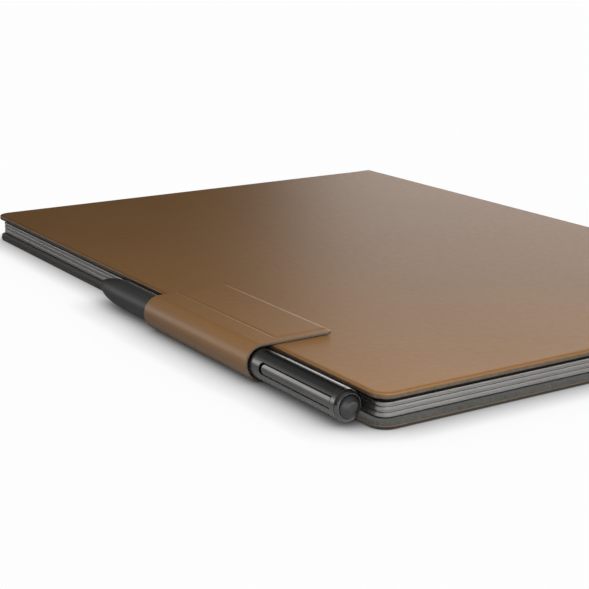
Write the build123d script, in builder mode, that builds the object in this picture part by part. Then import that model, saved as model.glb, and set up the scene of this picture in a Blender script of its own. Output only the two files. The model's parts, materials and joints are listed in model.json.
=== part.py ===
from build123d import *
import os
from math import sin, cos, radians, degrees

os.makedirs("parts", exist_ok=True)

# ----------------------------------------------------------------------------
# Ten-inch-class e-reader in a leather book folio, with its pen held in the
# folio's closure loop.  Millimetres, +Z up, screen side up.
# +X runs from the open fore edge to the spine, +Y along the long edge.
# Origin: centre of the object's box, on the surface that it lies on.
# ----------------------------------------------------------------------------

# ---- folio outline ----------------------------------------------------------
folio_len = 253.5          # long edge, along Y
folio_wid = 176.8          # fore edge to the outside of the spine, along X
corner_r = 5.0             # outer corners of both covers

# ---- pen and its loop -------------------------------------------------------
pen_r = 4.28               # barrel radius
pen_out = 3.98             # pen axis, outside the fore edge
pen_z = 5.48               # pen axis above the table
loop_in = 4.40             # inside of the loop's lining
loop_mid = 4.66            # lining to leather
loop_out = 5.28            # outside of the loop's leather
loop_y0, loop_y1 = 49.0, 109.4   # the flap, measured from the near short edge

# ---- frame of the model -----------------------------------------------------
x_left = -(pen_out + loop_out)
XF = -(folio_wid + x_left) / 2.0        # fore edge of the covers
XS = XF + folio_wid                     # outside of the spine
YN = -folio_len / 2.0                   # near short edge
YF = folio_len / 2.0                    # far short edge

# ---- back cover, from the table up -----------------------------------------
back_leather_t = 1.1
back_board_top = 1.75
back_top = 2.3
back_inset = 0.1

# ---- front cover ------------------------------------------------------------
front_bot = 8.05
front_lining_top = 8.40
front_board_top = 8.95
front_top = 9.68
turn_in = 1.6              # width of the leather turned round the board's edge

# ---- spine ------------------------------------------------------------------
spine_t = 1.6
crease_r = spine_t / 2.0
crease_x = XS - crease_r                # both fold lines
crease_z0 = crease_r                    # lower fold
crease_z1 = front_top - crease_r        # upper fold
plate_end = crease_x - crease_r - 0.05  # where both covers stop at the spine

# ---- tablet -----------------------------------------------------------------
tab_in = 1.58              # ribbed frame, inside the covers' edges
tab_in_spine = 2.2
TX0, TX1 = XF + tab_in, XS - tab_in_spine
TY0, TY1 = YN + tab_in, YF - tab_in
frame_r = 3.42
frame_bot, frame_top = 2.72, 6.83
rib_depth = 0.30
ribs = [(2.72, 4.12), (4.45, 5.62), (5.95, 6.83)]
wall = 1.8                 # frame wall
ledge_w = 2.1              # inner ledge that takes the rear screws
rear_bot, rear_top = 2.50, 3.10
mid_bot, mid_top = 5.50, 5.80
dig_top = 6.15
panel_top = 6.83
guide_top = 7.20
glass_bot, glass_top = 7.35, 7.95
glass_in = 0.8             # glass edge, inside the frame's outside

# ---- pen stations along Y, from the near short edge -------------------------
y_dome = 5.9               # end of the button's dome
y_shoulder = 7.35
y_ring0 = 8.45
y_ring1 = 10.3
y_slot = 44.0
y_clip = 42.8
y_joint = 62.0             # body to grip, under the flap
y_cone = 133.0
y_tip = 148.2
y_nib = 151.2

PX, PZ = XF - pen_out, pen_z


def outline(x0, x1, y0, y1, r_fore, r_spine):
    """Cover outline in the current sketch: fore corners and spine corners."""
    with Locations(((x0 + x1) / 2, (y0 + y1) / 2)):
        rect = Rectangle(x1 - x0, y1 - y0)
    if r_fore:
        fillet(rect.vertices().group_by(Axis.X)[0], radius=r_fore)
    return rect


def save(part, name):
    part.label = name
    export_step(part, "parts/" + name + ".step")


# ============================================================================
# Back cover
# ============================================================================
bx0, bx1 = XF + back_inset, plate_end
by0, by1 = YN + back_inset, YF - back_inset

with BuildPart() as back_cover_leather:
    with BuildSketch():
        with Locations(((bx0 + bx1) / 2, 0)):
            Rectangle(bx1 - bx0, by1 - by0)
    extrude(amount=back_leather_t)
    fillet(back_cover_leather.edges().filter_by(Axis.Z).group_by(Axis.X)[0], radius=corner_r)
    chamfer(back_cover_leather.faces().sort_by(Axis.Z)[0].edges(), length=0.25)
save(back_cover_leather.part, "back_cover_leather")

board_in = 2.5
magnet_w, magnet_l = 9.0, 26.0
back_magnet_xy = [(XS - 14.0, y) for y in (-84.0, -28.0, 28.0, 84.0)] + [(XF + 26.0, -84.0), (XF + 26.0, 84.0)]

with BuildPart() as back_cover_lining:
    with BuildSketch(Plane.XY.offset(back_leather_t)):
        with Locations(((bx0 + bx1) / 2, 0)):
            Rectangle(bx1 - bx0 - 0.3, by1 - by0 - 0.3)
    extrude(amount=back_top - back_leather_t)
    fillet(back_cover_lining.edges().filter_by(Axis.Z).group_by(Axis.X)[0], radius=corner_r - 0.15)
    fillet(back_cover_lining.faces().sort_by(Axis.Z)[-1].edges(), radius=0.3)
    with BuildSketch(Plane.XY.offset(back_leather_t)):
        with Locations(((bx0 + bx1) / 2, 0)):
            RectangleRounded(bx1 - bx0 - 2 * board_in, by1 - by0 - 2 * board_in, 3.0)
    extrude(amount=back_board_top - back_leather_t, mode=Mode.SUBTRACT)
save(back_cover_lining.part, "back_cover_lining")

with BuildPart() as back_cover_board:
    with BuildSketch(Plane.XY.offset(back_leather_t)):
        with Locations(((bx0 + bx1) / 2, 0)):
            RectangleRounded(bx1 - bx0 - 2 * board_in, by1 - by0 - 2 * board_in, 3.0)
        with Locations(*back_magnet_xy):
            Rectangle(magnet_w, magnet_l, mode=Mode.SUBTRACT)
    extrude(amount=back_board_top - back_leather_t)
save(back_cover_board.part, "back_cover_board")

with BuildPart() as back_cover_magnets:
    with BuildSketch(Plane.XY.offset(back_leather_t)):
        with Locations(*back_magnet_xy):
            Rectangle(magnet_w, magnet_l)
    extrude(amount=back_board_top - back_leather_t)
save(back_cover_magnets.part, "back_cover_magnets")

# ============================================================================
# Front cover
# ============================================================================
front_magnet_xy = [(XF + 11.0, YN + y) for y in (60.0, 73.0, 86.0, 99.0)]
fx0, fx1 = XF, plate_end

with BuildPart() as front_cover_leather:
    with BuildSketch(Plane.XY.offset(front_bot)):
        with Locations(((fx0 + fx1) / 2, 0)):
            Rectangle(fx1 - fx0, folio_len)
    extrude(amount=front_top - front_bot)
    fillet(front_cover_leather.edges().filter_by(Axis.Z).group_by(Axis.X)[0], radius=corner_r)
    fillet(front_cover_leather.faces().sort_by(Axis.Z)[-1].edges(), radius=0.45)
    chamfer(front_cover_leather.faces().sort_by(Axis.Z)[0].edges(), length=0.2)
    with BuildSketch(Plane.XY.offset(front_bot)):
        with Locations(((fx0 + fx1) / 2, 0)):
            RectangleRounded(fx1 - fx0 - 2 * turn_in, folio_len - 2 * turn_in, 3.4)
    extrude(amount=front_board_top - front_bot, mode=Mode.SUBTRACT)
save(front_cover_leather.part, "front_cover_leather")

with BuildPart() as front_cover_board:
    with BuildSketch(Plane.XY.offset(front_lining_top)):
        with Locations(((fx0 + fx1) / 2, 0)):
            RectangleRounded(fx1 - fx0 - 2 * turn_in, folio_len - 2 * turn_in, 3.4)
        with Locations(*front_magnet_xy):
            Rectangle(10.0, 10.0, mode=Mode.SUBTRACT)
    extrude(amount=front_board_top - front_lining_top)
save(front_cover_board.part, "front_cover_board")

with BuildPart() as front_cover_magnets:
    with BuildSketch(Plane.XY.offset(front_lining_top)):
        with Locations(*front_magnet_xy):
            Rectangle(10.0, 10.0)
    extrude(amount=front_board_top - front_lining_top)
save(front_cover_magnets.part, "front_cover_magnets")

with BuildPart() as front_cover_lining:
    with BuildSketch(Plane.XY.offset(front_bot)):
        with Locations(((fx0 + fx1) / 2, 0)):
            RectangleRounded(fx1 - fx0 - 2 * turn_in, folio_len - 2 * turn_in, 3.4)
    extrude(amount=front_lining_top - front_bot)
save(front_cover_lining.part, "front_cover_lining")

# ============================================================================
# Spine: leather outside with a round fold at each edge, board, lining inside
# ============================================================================
spine_y0, spine_y1 = YN + 0.6, YF - 0.6
spine_leather_t = 0.7

with BuildPart() as spine_leather:
    with BuildSketch(Plane.XZ.offset(-spine_y0)):
        with Locations((XS - spine_leather_t / 2, (crease_z0 + crease_z1) / 2)):
            Rectangle(spine_leather_t, crease_z1 - crease_z0)
        with Locations((crease_x, crease_z0), (crease_x, crease_z1)):
            Circle(crease_r)
    extrude(amount=spine_y1 - spine_y0, dir=(0, 1, 0))
save(spine_leather.part, "spine_leather")

sb0, sb1 = crease_z0 + crease_r + 0.1, crease_z1 - crease_r - 0.1
with BuildPart() as spine_board:
    with BuildSketch(Plane.XZ.offset(-(spine_y0 + 1.0))):
        with Locations((XS - spine_leather_t - 0.25, (sb0 + sb1) / 2)):
            Rectangle(0.5, sb1 - sb0)
    extrude(amount=spine_y1 - spine_y0 - 2.0, dir=(0, 1, 0))
save(spine_board.part, "spine_board")

with BuildPart() as spine_lining:
    with BuildSketch(Plane.XZ.offset(-(spine_y0 + 0.4))):
        with Locations((XS - spine_t + 0.2, (sb0 + sb1) / 2)):
            Rectangle(0.4, sb1 - sb0)
    extrude(amount=spine_y1 - spine_y0 - 0.8, dir=(0, 1, 0))
save(spine_lining.part, "spine_lining")

# ============================================================================
# Closure flap: base under the pen, loop round it, tab over the front cover
# ============================================================================
leaf_half = (loop_out - loop_in) / 2.0
leaf_mid = (loop_out + loop_in) / 2.0
hinge_a = 220.0                                   # lower fold, polar angle about the pen
HX, HZ = PX + leaf_mid * cos(radians(hinge_a)), PZ + leaf_mid * sin(radians(hinge_a))
fold_gap = 0.6                                    # strip stops this far from a fold line
gap_a = degrees(fold_gap / leaf_mid)
tab_fold_x, tab_fold_z = XF + 2.2, PZ + leaf_mid
tab_x1 = XF + 19.4
flap_w = loop_y1 - loop_y0
FY0 = YN + loop_y0


def polar(r, a):
    return (PX + r * cos(radians(a)), PZ + r * sin(radians(a)))


base_x1 = XF + back_inset

with BuildPart() as loop_base_leather:
    with BuildSketch(Plane.XZ.offset(-FY0)):
        with BuildLine():
            a0 = hinge_a + gap_a
            CenterArc((PX, PZ), loop_out, a0, 270 - a0)
            Line(polar(loop_out, 270), (base_x1, PZ - loop_out))
            Line((base_x1, PZ - loop_out), (base_x1, PZ - loop_mid))
            Line((base_x1, PZ - loop_mid), polar(loop_mid, 270))
            CenterArc((PX, PZ), loop_mid, a0, 270 - a0)
            Line(polar(loop_mid, a0), polar(loop_out, a0))
        make_face()
    extrude(amount=flap_w, dir=(0, 1, 0))
save(loop_base_leather.part, "loop_base_leather")

with BuildPart() as loop_base_lining:
    with BuildSketch(Plane.XZ.offset(-(FY0 + 0.4))):
        with BuildLine():
            CenterArc((PX, PZ), loop_mid, a0, 270 - a0)
            Line(polar(loop_mid, 270), (base_x1, PZ - loop_mid))
            Line((base_x1, PZ - loop_mid), (base_x1, PZ - loop_in))
            Line((base_x1, PZ - loop_in), polar(loop_in, 270))
            CenterArc((PX, PZ), loop_in, a0, 270 - a0)
            Line(polar(loop_in, a0), polar(loop_mid, a0))
        make_face()
    extrude(amount=flap_w - 0.8, dir=(0, 1, 0))
save(loop_base_lining.part, "loop_base_lining")

loop_end_x = tab_fold_x - fold_gap

with BuildPart() as loop_leather:
    with BuildSketch(Plane.XZ.offset(-FY0)):
        with BuildLine():
            CenterArc((PX, PZ), loop_out, 90, hinge_a - 90)
            Line(polar(loop_out, hinge_a), polar(loop_mid, hinge_a))
            CenterArc((PX, PZ), loop_mid, 90, hinge_a - 90)
            Line(polar(loop_mid, 90), (loop_end_x, PZ + loop_mid))
            Line((loop_end_x, PZ + loop_mid), (loop_end_x, PZ + loop_out))
            Line((loop_end_x, PZ + loop_out), polar(loop_out, 90))
        make_face()
        with Locations((HX, HZ)):
            Circle(leaf_half)
    extrude(amount=flap_w, dir=(0, 1, 0))
save(loop_leather.part, "loop_leather")

with BuildPart() as loop_lining:
    a1 = hinge_a - gap_a
    with BuildSketch(Plane.XZ.offset(-(FY0 + 0.4))):
        with BuildLine():
            CenterArc((PX, PZ), loop_mid, 90, a1 - 90)
            Line(polar(loop_mid, a1), polar(loop_in, a1))
            CenterArc((PX, PZ), loop_in, 90, a1 - 90)
            Line(polar(loop_in, 90), (loop_end_x, PZ + loop_in))
            Line((loop_end_x, PZ + loop_in), (loop_end_x, PZ + loop_mid))
            Line((loop_end_x, PZ + loop_mid), polar(loop_mid, 90))
        make_face()
    extrude(amount=flap_w - 0.8, dir=(0, 1, 0))
save(loop_lining.part, "loop_lining")

tab_z0, tab_zm, tab_z1 = PZ + loop_in, PZ + loop_mid, PZ + loop_out
tm_x0, tm_x1, tm_y0, tm_y1 = XF + 6.0, XF + 16.0, FY0 + 6.0, FY0 + flap_w - 6.0

with BuildPart() as tab_leather:
    with BuildSketch(Plane.XZ.offset(-FY0)):
        with Locations(((tab_fold_x + tab_x1) / 2, (tab_zm + tab_z1) / 2)):
            Rectangle(tab_x1 - tab_fold_x, tab_z1 - tab_zm)
        with Locations((tab_fold_x, tab_fold_z)):
            Circle(leaf_half)
    extrude(amount=flap_w, dir=(0, 1, 0))
    fillet(tab_leather.edges().filter_by(Axis.Z).group_by(Axis.X)[-1], radius=2.0)
    with BuildSketch(Plane.XY.offset(tab_zm)):
        with Locations(((tm_x0 + tm_x1) / 2, (tm_y0 + tm_y1) / 2)):
            Rectangle(tm_x1 - tm_x0, tm_y1 - tm_y0)
    extrude(amount=0.3, mode=Mode.SUBTRACT)
save(tab_leather.part, "tab_leather")

with BuildPart() as tab_magnets:
    with BuildSketch(Plane.XY.offset(tab_zm)):
        with Locations(*[((tm_x0 + tm_x1) / 2, tm_y0 + (tm_y1 - tm_y0) * (i + 0.5) / 4) for i in range(4)]):
            Rectangle(tm_x1 - tm_x0, (tm_y1 - tm_y0) / 4 - 1.0)
    extrude(amount=0.3)
save(tab_magnets.part, "tab_magnets")

with BuildPart() as tab_lining:
    tl_x0, tl_x1 = tab_fold_x + fold_gap, tab_x1 - 0.4
    with BuildSketch(Plane.XY.offset(tab_z0)):
        with Locations(((tl_x0 + tl_x1) / 2, FY0 + flap_w / 2)):
            Rectangle(tl_x1 - tl_x0, flap_w - 0.8)
    extrude(amount=tab_zm - tab_z0)
    fillet(tab_lining.edges().filter_by(Axis.Z).group_by(Axis.X)[-1], radius=1.6)
save(tab_lining.part, "tab_lining")

# ============================================================================
# Tablet
# ============================================================================
TXc, TYc = (TX0 + TX1) / 2, 0.0
TW, TL = TX1 - TX0, TY1 - TY0
usb_x, usb_z = TXc, 4.72
usb_w, usb_h, usb_len = 8.94, 3.16, 7.3
btn_x, btn_z, btn_w, btn_h = XS - 34.0, 4.33, 12.0, 1.9
btn_gap = 0.06
screw_in = wall + ledge_w / 2
screw_xy = (
    [(TX0 + screw_in, y) for y in (-108.0, -36.0, 36.0, 108.0)]
    + [(TX1 - screw_in, y) for y in (-108.0, -36.0, 36.0, 108.0)]
    + [(TXc - 42.0, TY0 + screw_in), (TXc + 42.0, TY0 + screw_in), (TXc - 42.0, TY1 - screw_in), (TXc + 12.0, TY1 - screw_in)]
)

with BuildPart() as mid_frame:
    with BuildSketch(Plane.XY.offset(frame_bot)):
        with Locations((TXc, 0)):
            RectangleRounded(TW - 2 * rib_depth, TL - 2 * rib_depth, frame_r - rib_depth)
    extrude(amount=frame_top - frame_bot)
    for z0, z1 in ribs:
        with BuildSketch(Plane.XY.offset(z0)):
            with Locations((TXc, 0)):
                RectangleRounded(TW, TL, frame_r)
        extrude(amount=z1 - z0)
    # round over every rib
    rib_edges = [
        e for e in mid_frame.edges()
        if any(abs(e.center().Z - z) < 1e-4 for pair in ribs for z in pair)
        and (e.bounding_box().min.Z > 0)
        and (
            abs(abs(e.center().X - TXc) - TW / 2) < 0.02
            or abs(abs(e.center().Y) - TL / 2) < 0.02
            or (abs(e.center().X - TXc) > TW / 2 - frame_r and abs(e.center().Y) > TL / 2 - frame_r
                and e.radius > frame_r - 0.01)
        )
    ]
    fillet(rib_edges, radius=0.26)
    # upper opening takes the display stack, lower opening the rear cover
    with BuildSketch(Plane.XY.offset(mid_bot)):
        with Locations((TXc, 0)):
            RectangleRounded(TW - 2 * wall, TL - 2 * wall, 2.0)
    extrude(amount=frame_top - mid_bot, mode=Mode.SUBTRACT)
    with BuildSketch(Plane.XY.offset(frame_bot)):
        with Locations((TXc, 0)):
            RectangleRounded(TW - 2 * wall, TL - 2 * wall, 2.0)
    extrude(amount=rear_top - frame_bot, mode=Mode.SUBTRACT)
    with BuildSketch(Plane.XY.offset(rear_top)):
        with Locations((TXc, 0)):
            RectangleRounded(TW - 2 * (wall + ledge_w), TL - 2 * (wall + ledge_w), 1.0)
    extrude(amount=mid_bot - rear_top, mode=Mode.SUBTRACT)
    # socket opening in the near wall, button opening in the far wall
    with BuildSketch(Plane.XZ.offset(-(TY0 - 0.5))):
        with Locations((usb_x, usb_z)):
            RectangleRounded(usb_w + 0.2, usb_h + 0.2, 1.6)
    extrude(amount=8.5, dir=(0, 1, 0), mode=Mode.SUBTRACT)
    with BuildSketch(Plane.XZ.offset(-(TY1 + 0.5))):
        with Locations((btn_x, btn_z)):
            RectangleRounded(btn_w + 2 * btn_gap, btn_h + 2 * btn_gap, 0.9)
    extrude(amount=6.0, dir=(0, -1, 0), mode=Mode.SUBTRACT)
    # blind pilot holes for the rear screws
    with BuildSketch(Plane.XY.offset(rear_top)):
        with Locations(*screw_xy):
            Circle(0.6)
    extrude(amount=1.6, mode=Mode.SUBTRACT)
save(mid_frame.part, "mid_frame")

with BuildPart() as rear_cover:
    with BuildSketch(Plane.XY.offset(rear_bot)):
        with Locations((TXc, 0)):
            RectangleRounded(TW - 1.9, TL - 1.9, 2.6)
    extrude(amount=frame_bot - rear_bot)
    with BuildSketch(Plane.XY.offset(frame_bot)):
        with Locations((TXc, 0)):
            RectangleRounded(TW - 2 * wall - 0.1, TL - 2 * wall - 0.1, 1.95)
    extrude(amount=rear_top - frame_bot)
    with BuildSketch(Plane.XY.offset(rear_bot)):
        with Locations(*screw_xy):
            Circle(1.0)
    extrude(amount=0.35, mode=Mode.SUBTRACT)
    with BuildSketch(Plane.XY.offset(rear_bot)):
        with Locations(*screw_xy):
            Circle(0.6)
    extrude(amount=rear_top - rear_bot, mode=Mode.SUBTRACT)
save(rear_cover.part, "rear_cover")

with BuildPart() as rear_cover_screws:
    with BuildSketch(Plane.XY.offset(rear_bot)):
        with Locations(*screw_xy):
            Circle(0.96)
    extrude(amount=0.35)
    with BuildSketch(Plane.XY.offset(rear_bot + 0.35)):
        with Locations(*screw_xy):
            Circle(0.56)
    extrude(amount=1.75)
    with BuildSketch(Plane.XY.offset(rear_bot)):
        with Locations(*screw_xy):
            RegularPolygon(0.4, 6)
    extrude(amount=0.2, mode=Mode.SUBTRACT)
save(rear_cover_screws.part, "rear_cover_screws")

with BuildPart() as rear_feet:
    with BuildSketch(Plane.XY.offset(back_top)):
        with Locations((TXc, -98.0), (TXc, 98.0)):
            RectangleRounded(120.0, 5.0, 2.4)
    extrude(amount=rear_bot - back_top)
save(rear_feet.part, "rear_feet")

slot_xy = [(TXc - 40.0, TY0 + 30.0, 30.0), (TXc + 45.0, TY0 + 30.0, 18.0)]
with BuildPart() as mid_plate:
    with BuildSketch(Plane.XY.offset(mid_bot)):
        with Locations((TXc, 0)):
            RectangleRounded(TW - 2 * wall - 0.1, TL - 2 * wall - 0.1, 1.95)
        with Locations((usb_x, TY0 + 4.5)):
            Rectangle(usb_w + 1.6, 9.0, mode=Mode.SUBTRACT)
        for sx, sy, sw in slot_xy:
            with Locations((sx, sy)):
                Rectangle(sw + 2.0, 1.6, mode=Mode.SUBTRACT)
    extrude(amount=mid_top - mid_bot)
save(mid_plate.part, "mid_plate")

ax0, ax1, ay0, ay1 = TX0 + 8.2, TX1 - 8.2, TY0 + 11.0, TY1 - 8.2   # active stack

with BuildPart() as digitizer_board:
    with BuildSketch(Plane.XY.offset(mid_top)):
        with Locations(((ax0 + ax1) / 2, (ay0 + ay1) / 2)):
            Rectangle(ax1 - ax0 + 4.0, ay1 - ay0 + 2.0)
        with Locations((slot_xy[0][0], slot_xy[0][1])):
            Rectangle(slot_xy[0][2] + 2.0, 1.6, mode=Mode.SUBTRACT)
    extrude(amount=dig_top - mid_top)
save(digitizer_board.part, "digitizer_board")

with BuildPart() as epaper_panel:
    with BuildSketch(Plane.XY.offset(dig_top)):
        with Locations(((ax0 + ax1) / 2, (ay0 + ay1) / 2)):
            Rectangle(ax1 - ax0 + 2.0, ay1 - ay0)
    extrude(amount=panel_top - dig_top)
save(epaper_panel.part, "epaper_panel")

with BuildPart() as light_guide:
    with BuildSketch(Plane.XY.offset(panel_top)):
        with Locations(((ax0 + ax1) / 2, (ay0 + ay1) / 2)):
            Rectangle(ax1 - ax0, ay1 - ay0)
    extrude(amount=guide_top - panel_top)
save(light_guide.part, "light_guide")

with BuildPart() as led_bar:
    with BuildSketch(Plane.XY.offset(panel_top)):
        with Locations(((ax0 + ax1) / 2, ay0 - 0.9)):
            Rectangle(ax1 - ax0 - 8.0, 0.35)
    extrude(amount=guide_top - panel_top)
    with BuildSketch(Plane.XY.offset(panel_top + 0.03)):
        with Locations(*[((ax0 + ax1) / 2 + (i - 7) * 9.6, ay0 - 0.425) for i in range(15)]):
            Rectangle(2.6, 0.6)
    extrude(amount=0.3)
save(led_bar.part, "led_bar")

with BuildPart() as touch_sensor:
    with BuildSketch(Plane.XY.offset(guide_top)):
        with Locations(((ax0 + ax1) / 2, (ay0 + ay1) / 2)):
            Rectangle(ax1 - ax0, ay1 - ay0)
    extrude(amount=glass_bot - guide_top)
save(touch_sensor.part, "touch_sensor")

with BuildPart() as bezel_gasket:
    with BuildSketch(Plane.XY.offset(frame_top)):
        with Locations((TXc, 0)):
            RectangleRounded(TW - 2 * glass_in - 0.3, TL - 2 * glass_in - 0.3, 2.6)
        with Locations(((ax0 + ax1) / 2, (ay0 + ay1) / 2 - 1.0)):
            Rectangle(ax1 - ax0 + 2.2, ay1 - ay0 + 2.6, mode=Mode.SUBTRACT)
    extrude(amount=glass_bot - frame_top)
save(bezel_gasket.part, "bezel_gasket")

with BuildPart() as cover_glass:
    with BuildSketch(Plane.XY.offset(glass_bot)):
        with Locations((TXc, 0)):
            RectangleRounded(TW - 2 * glass_in, TL - 2 * glass_in, 2.7)
    extrude(amount=glass_top - glass_bot)
    fillet(cover_glass.faces().sort_by(Axis.Z)[-1].edges(), radius=0.3)
save(cover_glass.part, "cover_glass")

# ---- inside the rear cavity -------------------------------------------------
pcb_bot, pcb_top = 3.75, 4.55
pcb_x0, pcb_x1, pcb_y0, pcb_y1 = TXc - 66.0, TXc + 66.0, TY0 + 4.6, TY0 + 46.0

with BuildPart() as mainboard:
    with BuildSketch(Plane.XY.offset(pcb_bot)):
        with Locations(((pcb_x0 + pcb_x1) / 2, (pcb_y0 + pcb_y1) / 2)):
            Rectangle(pcb_x1 - pcb_x0, pcb_y1 - pcb_y0)
        with Locations((usb_x, pcb_y0 + 2.6)):
            Rectangle(usb_w + 0.6, 5.4, mode=Mode.SUBTRACT)
    extrude(amount=pcb_top - pcb_bot)
    # bare chips and connectors on the top side
    with BuildSketch(Plane.XY.offset(pcb_top)):
        with Locations((TXc - 52.0, pcb_y0 + 10.0), (TXc + 54.0, pcb_y0 + 12.0)):
            Rectangle(9.0, 9.0)
        with Locations((TXc + 50.0, pcb_y1 - 5.0), (TXc - 58.0, pcb_y1 - 6.0)):
            Rectangle(6.0, 3.0)
    extrude(amount=0.7)
save(mainboard.part, "mainboard")

with BuildPart() as shield_cans:
    with BuildSketch(Plane.XY.offset(pcb_top)):
        with Locations((TXc - 22.0, pcb_y0 + 11.5), (TXc + 27.0, pcb_y0 + 11.5)):
            Rectangle(30.0, 19.0)
    extrude(amount=mid_bot - pcb_top)
    with BuildSketch(Plane.XY.offset(pcb_top)):
        with Locations((TXc - 22.0, pcb_y0 + 11.5), (TXc + 27.0, pcb_y0 + 11.5)):
            Rectangle(29.5, 18.5)
    extrude(amount=mid_bot - pcb_top - 0.2, mode=Mode.SUBTRACT)
save(shield_cans.part, "shield_cans")

with BuildPart() as usb_c_port:
    with BuildSketch(Plane.XZ.offset(-(TY0 + 0.25))):
        with Locations((usb_x, usb_z)):
            RectangleRounded(usb_w, usb_h, 1.5)
            RectangleRounded(usb_w - 0.6, usb_h - 0.6, 1.25, mode=Mode.SUBTRACT)
    extrude(amount=usb_len, dir=(0, 1, 0))
    with BuildSketch(Plane.XZ.offset(-(TY0 + 0.25 + usb_len - 1.2))):
        with Locations((usb_x, usb_z)):
            RectangleRounded(usb_w - 0.6, usb_h - 0.6, 1.25)
    extrude(amount=1.2, dir=(0, 1, 0))
    with BuildSketch(Plane.XZ.offset(-(TY0 + 1.0))):
        with Locations((usb_x, usb_z)):
            Rectangle(6.69, 0.7)
    extrude(amount=usb_len - 1.5, dir=(0, 1, 0))
save(usb_c_port.part, "usb_c_port")

with BuildPart() as display_flex:
    sx, sy, sw = slot_xy[0]
    with BuildSketch(Plane.XY.offset(pcb_top)):
        with Locations((sx, sy - 1.2)):
            Rectangle(sw, 2.6)
    extrude(amount=0.5)
    with BuildSketch(Plane.XY.offset(pcb_top)):
        with Locations((sx, sy)):
            Rectangle(sw, 0.2)
    extrude(amount=dig_top - pcb_top)
save(display_flex.part, "display_flex")

with BuildPart() as digitizer_flex:
    sx, sy, sw = slot_xy[1]
    with BuildSketch(Plane.XY.offset(pcb_top)):
        with Locations((sx, sy - 1.2)):
            Rectangle(sw, 2.6)
    extrude(amount=0.5)
    with BuildSketch(Plane.XY.offset(pcb_top)):
        with Locations((sx, sy)):
            Rectangle(sw, 0.2)
    extrude(amount=mid_top - pcb_top)
save(digitizer_flex.part, "digitizer_flex")

with BuildPart() as battery_cells:
    with BuildSketch(Plane.XY.offset(rear_top + 0.1)):
        with Locations((TXc - 36.0, 8.0), (TXc + 36.0, 8.0)):
            RectangleRounded(64.0, 108.0, 2.0)
    extrude(amount=mid_bot - rear_top - 0.2)
    fillet(battery_cells.edges().group_by(Axis.Z)[-1], radius=0.6)
    fillet(battery_cells.edges().group_by(Axis.Z)[0], radius=0.6)
save(battery_cells.part, "battery_cells")

with BuildPart() as battery_board:
    with BuildSketch(Plane.XY.offset(rear_top + 0.5)):
        with Locations((TXc, -50.0)):
            Rectangle(110.0, 7.0)
    extrude(amount=0.8)
    with BuildSketch(Plane.XY.offset(rear_top + 1.3)):
        with Locations((TXc - 30.0, -50.0), (TXc + 30.0, -50.0)):
            Rectangle(14.0, 4.0)
    extrude(amount=0.7)
save(battery_board.part, "battery_board")

with BuildPart() as tablet_magnets:
    with BuildSketch(Plane.XY.offset(rear_top)):
        with Locations(*[(TX1 - 9.5, y) for y in (-84.0, -28.0, 28.0, 84.0)]):
            Rectangle(9.0, 26.0)
    extrude(amount=1.2)
save(tablet_magnets.part, "tablet_magnets")

with BuildPart() as wifi_antenna:
    with BuildSketch(Plane.XY.offset(mid_top)):
        with Locations((TX0 + 40.0, TY1 - 4.4)):
            Rectangle(46.0, 4.6)
    extrude(amount=0.4)
save(wifi_antenna.part, "wifi_antenna")

# ---- power button -----------------------------------------------------------
btn_proud = 0.25
btn_travel = 0.3
with BuildPart() as power_button:
    with BuildSketch(Plane.XZ.offset(-(TY1 - wall - ledge_w + 0.9))):
        with Locations((btn_x, btn_z)):
            RectangleRounded(btn_w, btn_h, 0.85)
    extrude(amount=wall + ledge_w - 0.9 + btn_proud, dir=(0, 1, 0))
    fillet(power_button.faces().sort_by(Axis.Y)[-1].edges(), radius=0.2)
save(power_button.part, "power_button")

with BuildPart() as power_switch:
    sw_y1 = TY1 - wall - ledge_w + 0.9 - btn_travel - 0.1
    with BuildSketch(Plane.XZ.offset(-(sw_y1 - 1.6))):
        with Locations((btn_x, btn_z)):
            Rectangle(4.0, 1.4)
    extrude(amount=1.6, dir=(0, 1, 0))
    with BuildSketch(Plane.XY.offset(btn_z - 0.95 - 0.25)):
        with Locations((btn_x, sw_y1 - 4.0)):
            Rectangle(16.0, 5.0)
    extrude(amount=0.5)
save(power_switch.part, "power_switch")

# ============================================================================
# Pen: axis parallel to Y, end button towards the near edge, tip towards the far
# ============================================================================
def ypl(y):
    """Plane square to the pen's axis at station y, local x = +X, local y = +Z."""
    return Plane(origin=(PX, YN + y, PZ), x_dir=(1, 0, 0), z_dir=(0, -1, 0))


clip_a = 167.6                       # clip's middle, polar angle about the pen axis
clip_half_w = 1.39
slot_half_w = 1.60
bore_r = 3.45
clip_plane = Plane(
    origin=(PX, 0, PZ),
    x_dir=(0, 1, 0),
    z_dir=(cos(radians(clip_a)), 0, sin(radians(clip_a))),
)

with BuildPart() as pen_body:
    with BuildSketch(ypl(y_joint)):
        Circle(pen_r)
        Circle(bore_r, mode=Mode.SUBTRACT)
    extrude(amount=y_joint - y_ring1, dir=(0, -1, 0))
    # slot that the clip lies in, round at its free end
    with BuildSketch(clip_plane.offset(bore_r - 1.2)):
        s0, s1 = YN + y_ring1 - 0.5, YN + y_slot
        with Locations(((s0 + s1) / 2, 0)):
            rr = Rectangle(s1 - s0, 2 * slot_half_w)
        fillet(rr.vertices().group_by(Axis.X)[-1], radius=slot_half_w - 0.05)
    extrude(amount=4.0, mode=Mode.SUBTRACT)
    # the edges on the barrel's outside, round the slot and at the ring
    rim = [e for e in pen_body.edges()
           if all(abs(((e @ t).X - PX) ** 2 + ((e @ t).Z - PZ) ** 2 - pen_r ** 2) < 0.02 for t in (0.0, 0.5, 1.0))
           and (e @ 0.5).Y < YN + y_slot + 1.0]
    chamfer(rim, length=0.09)
save(pen_body.part, "pen_body")

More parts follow.
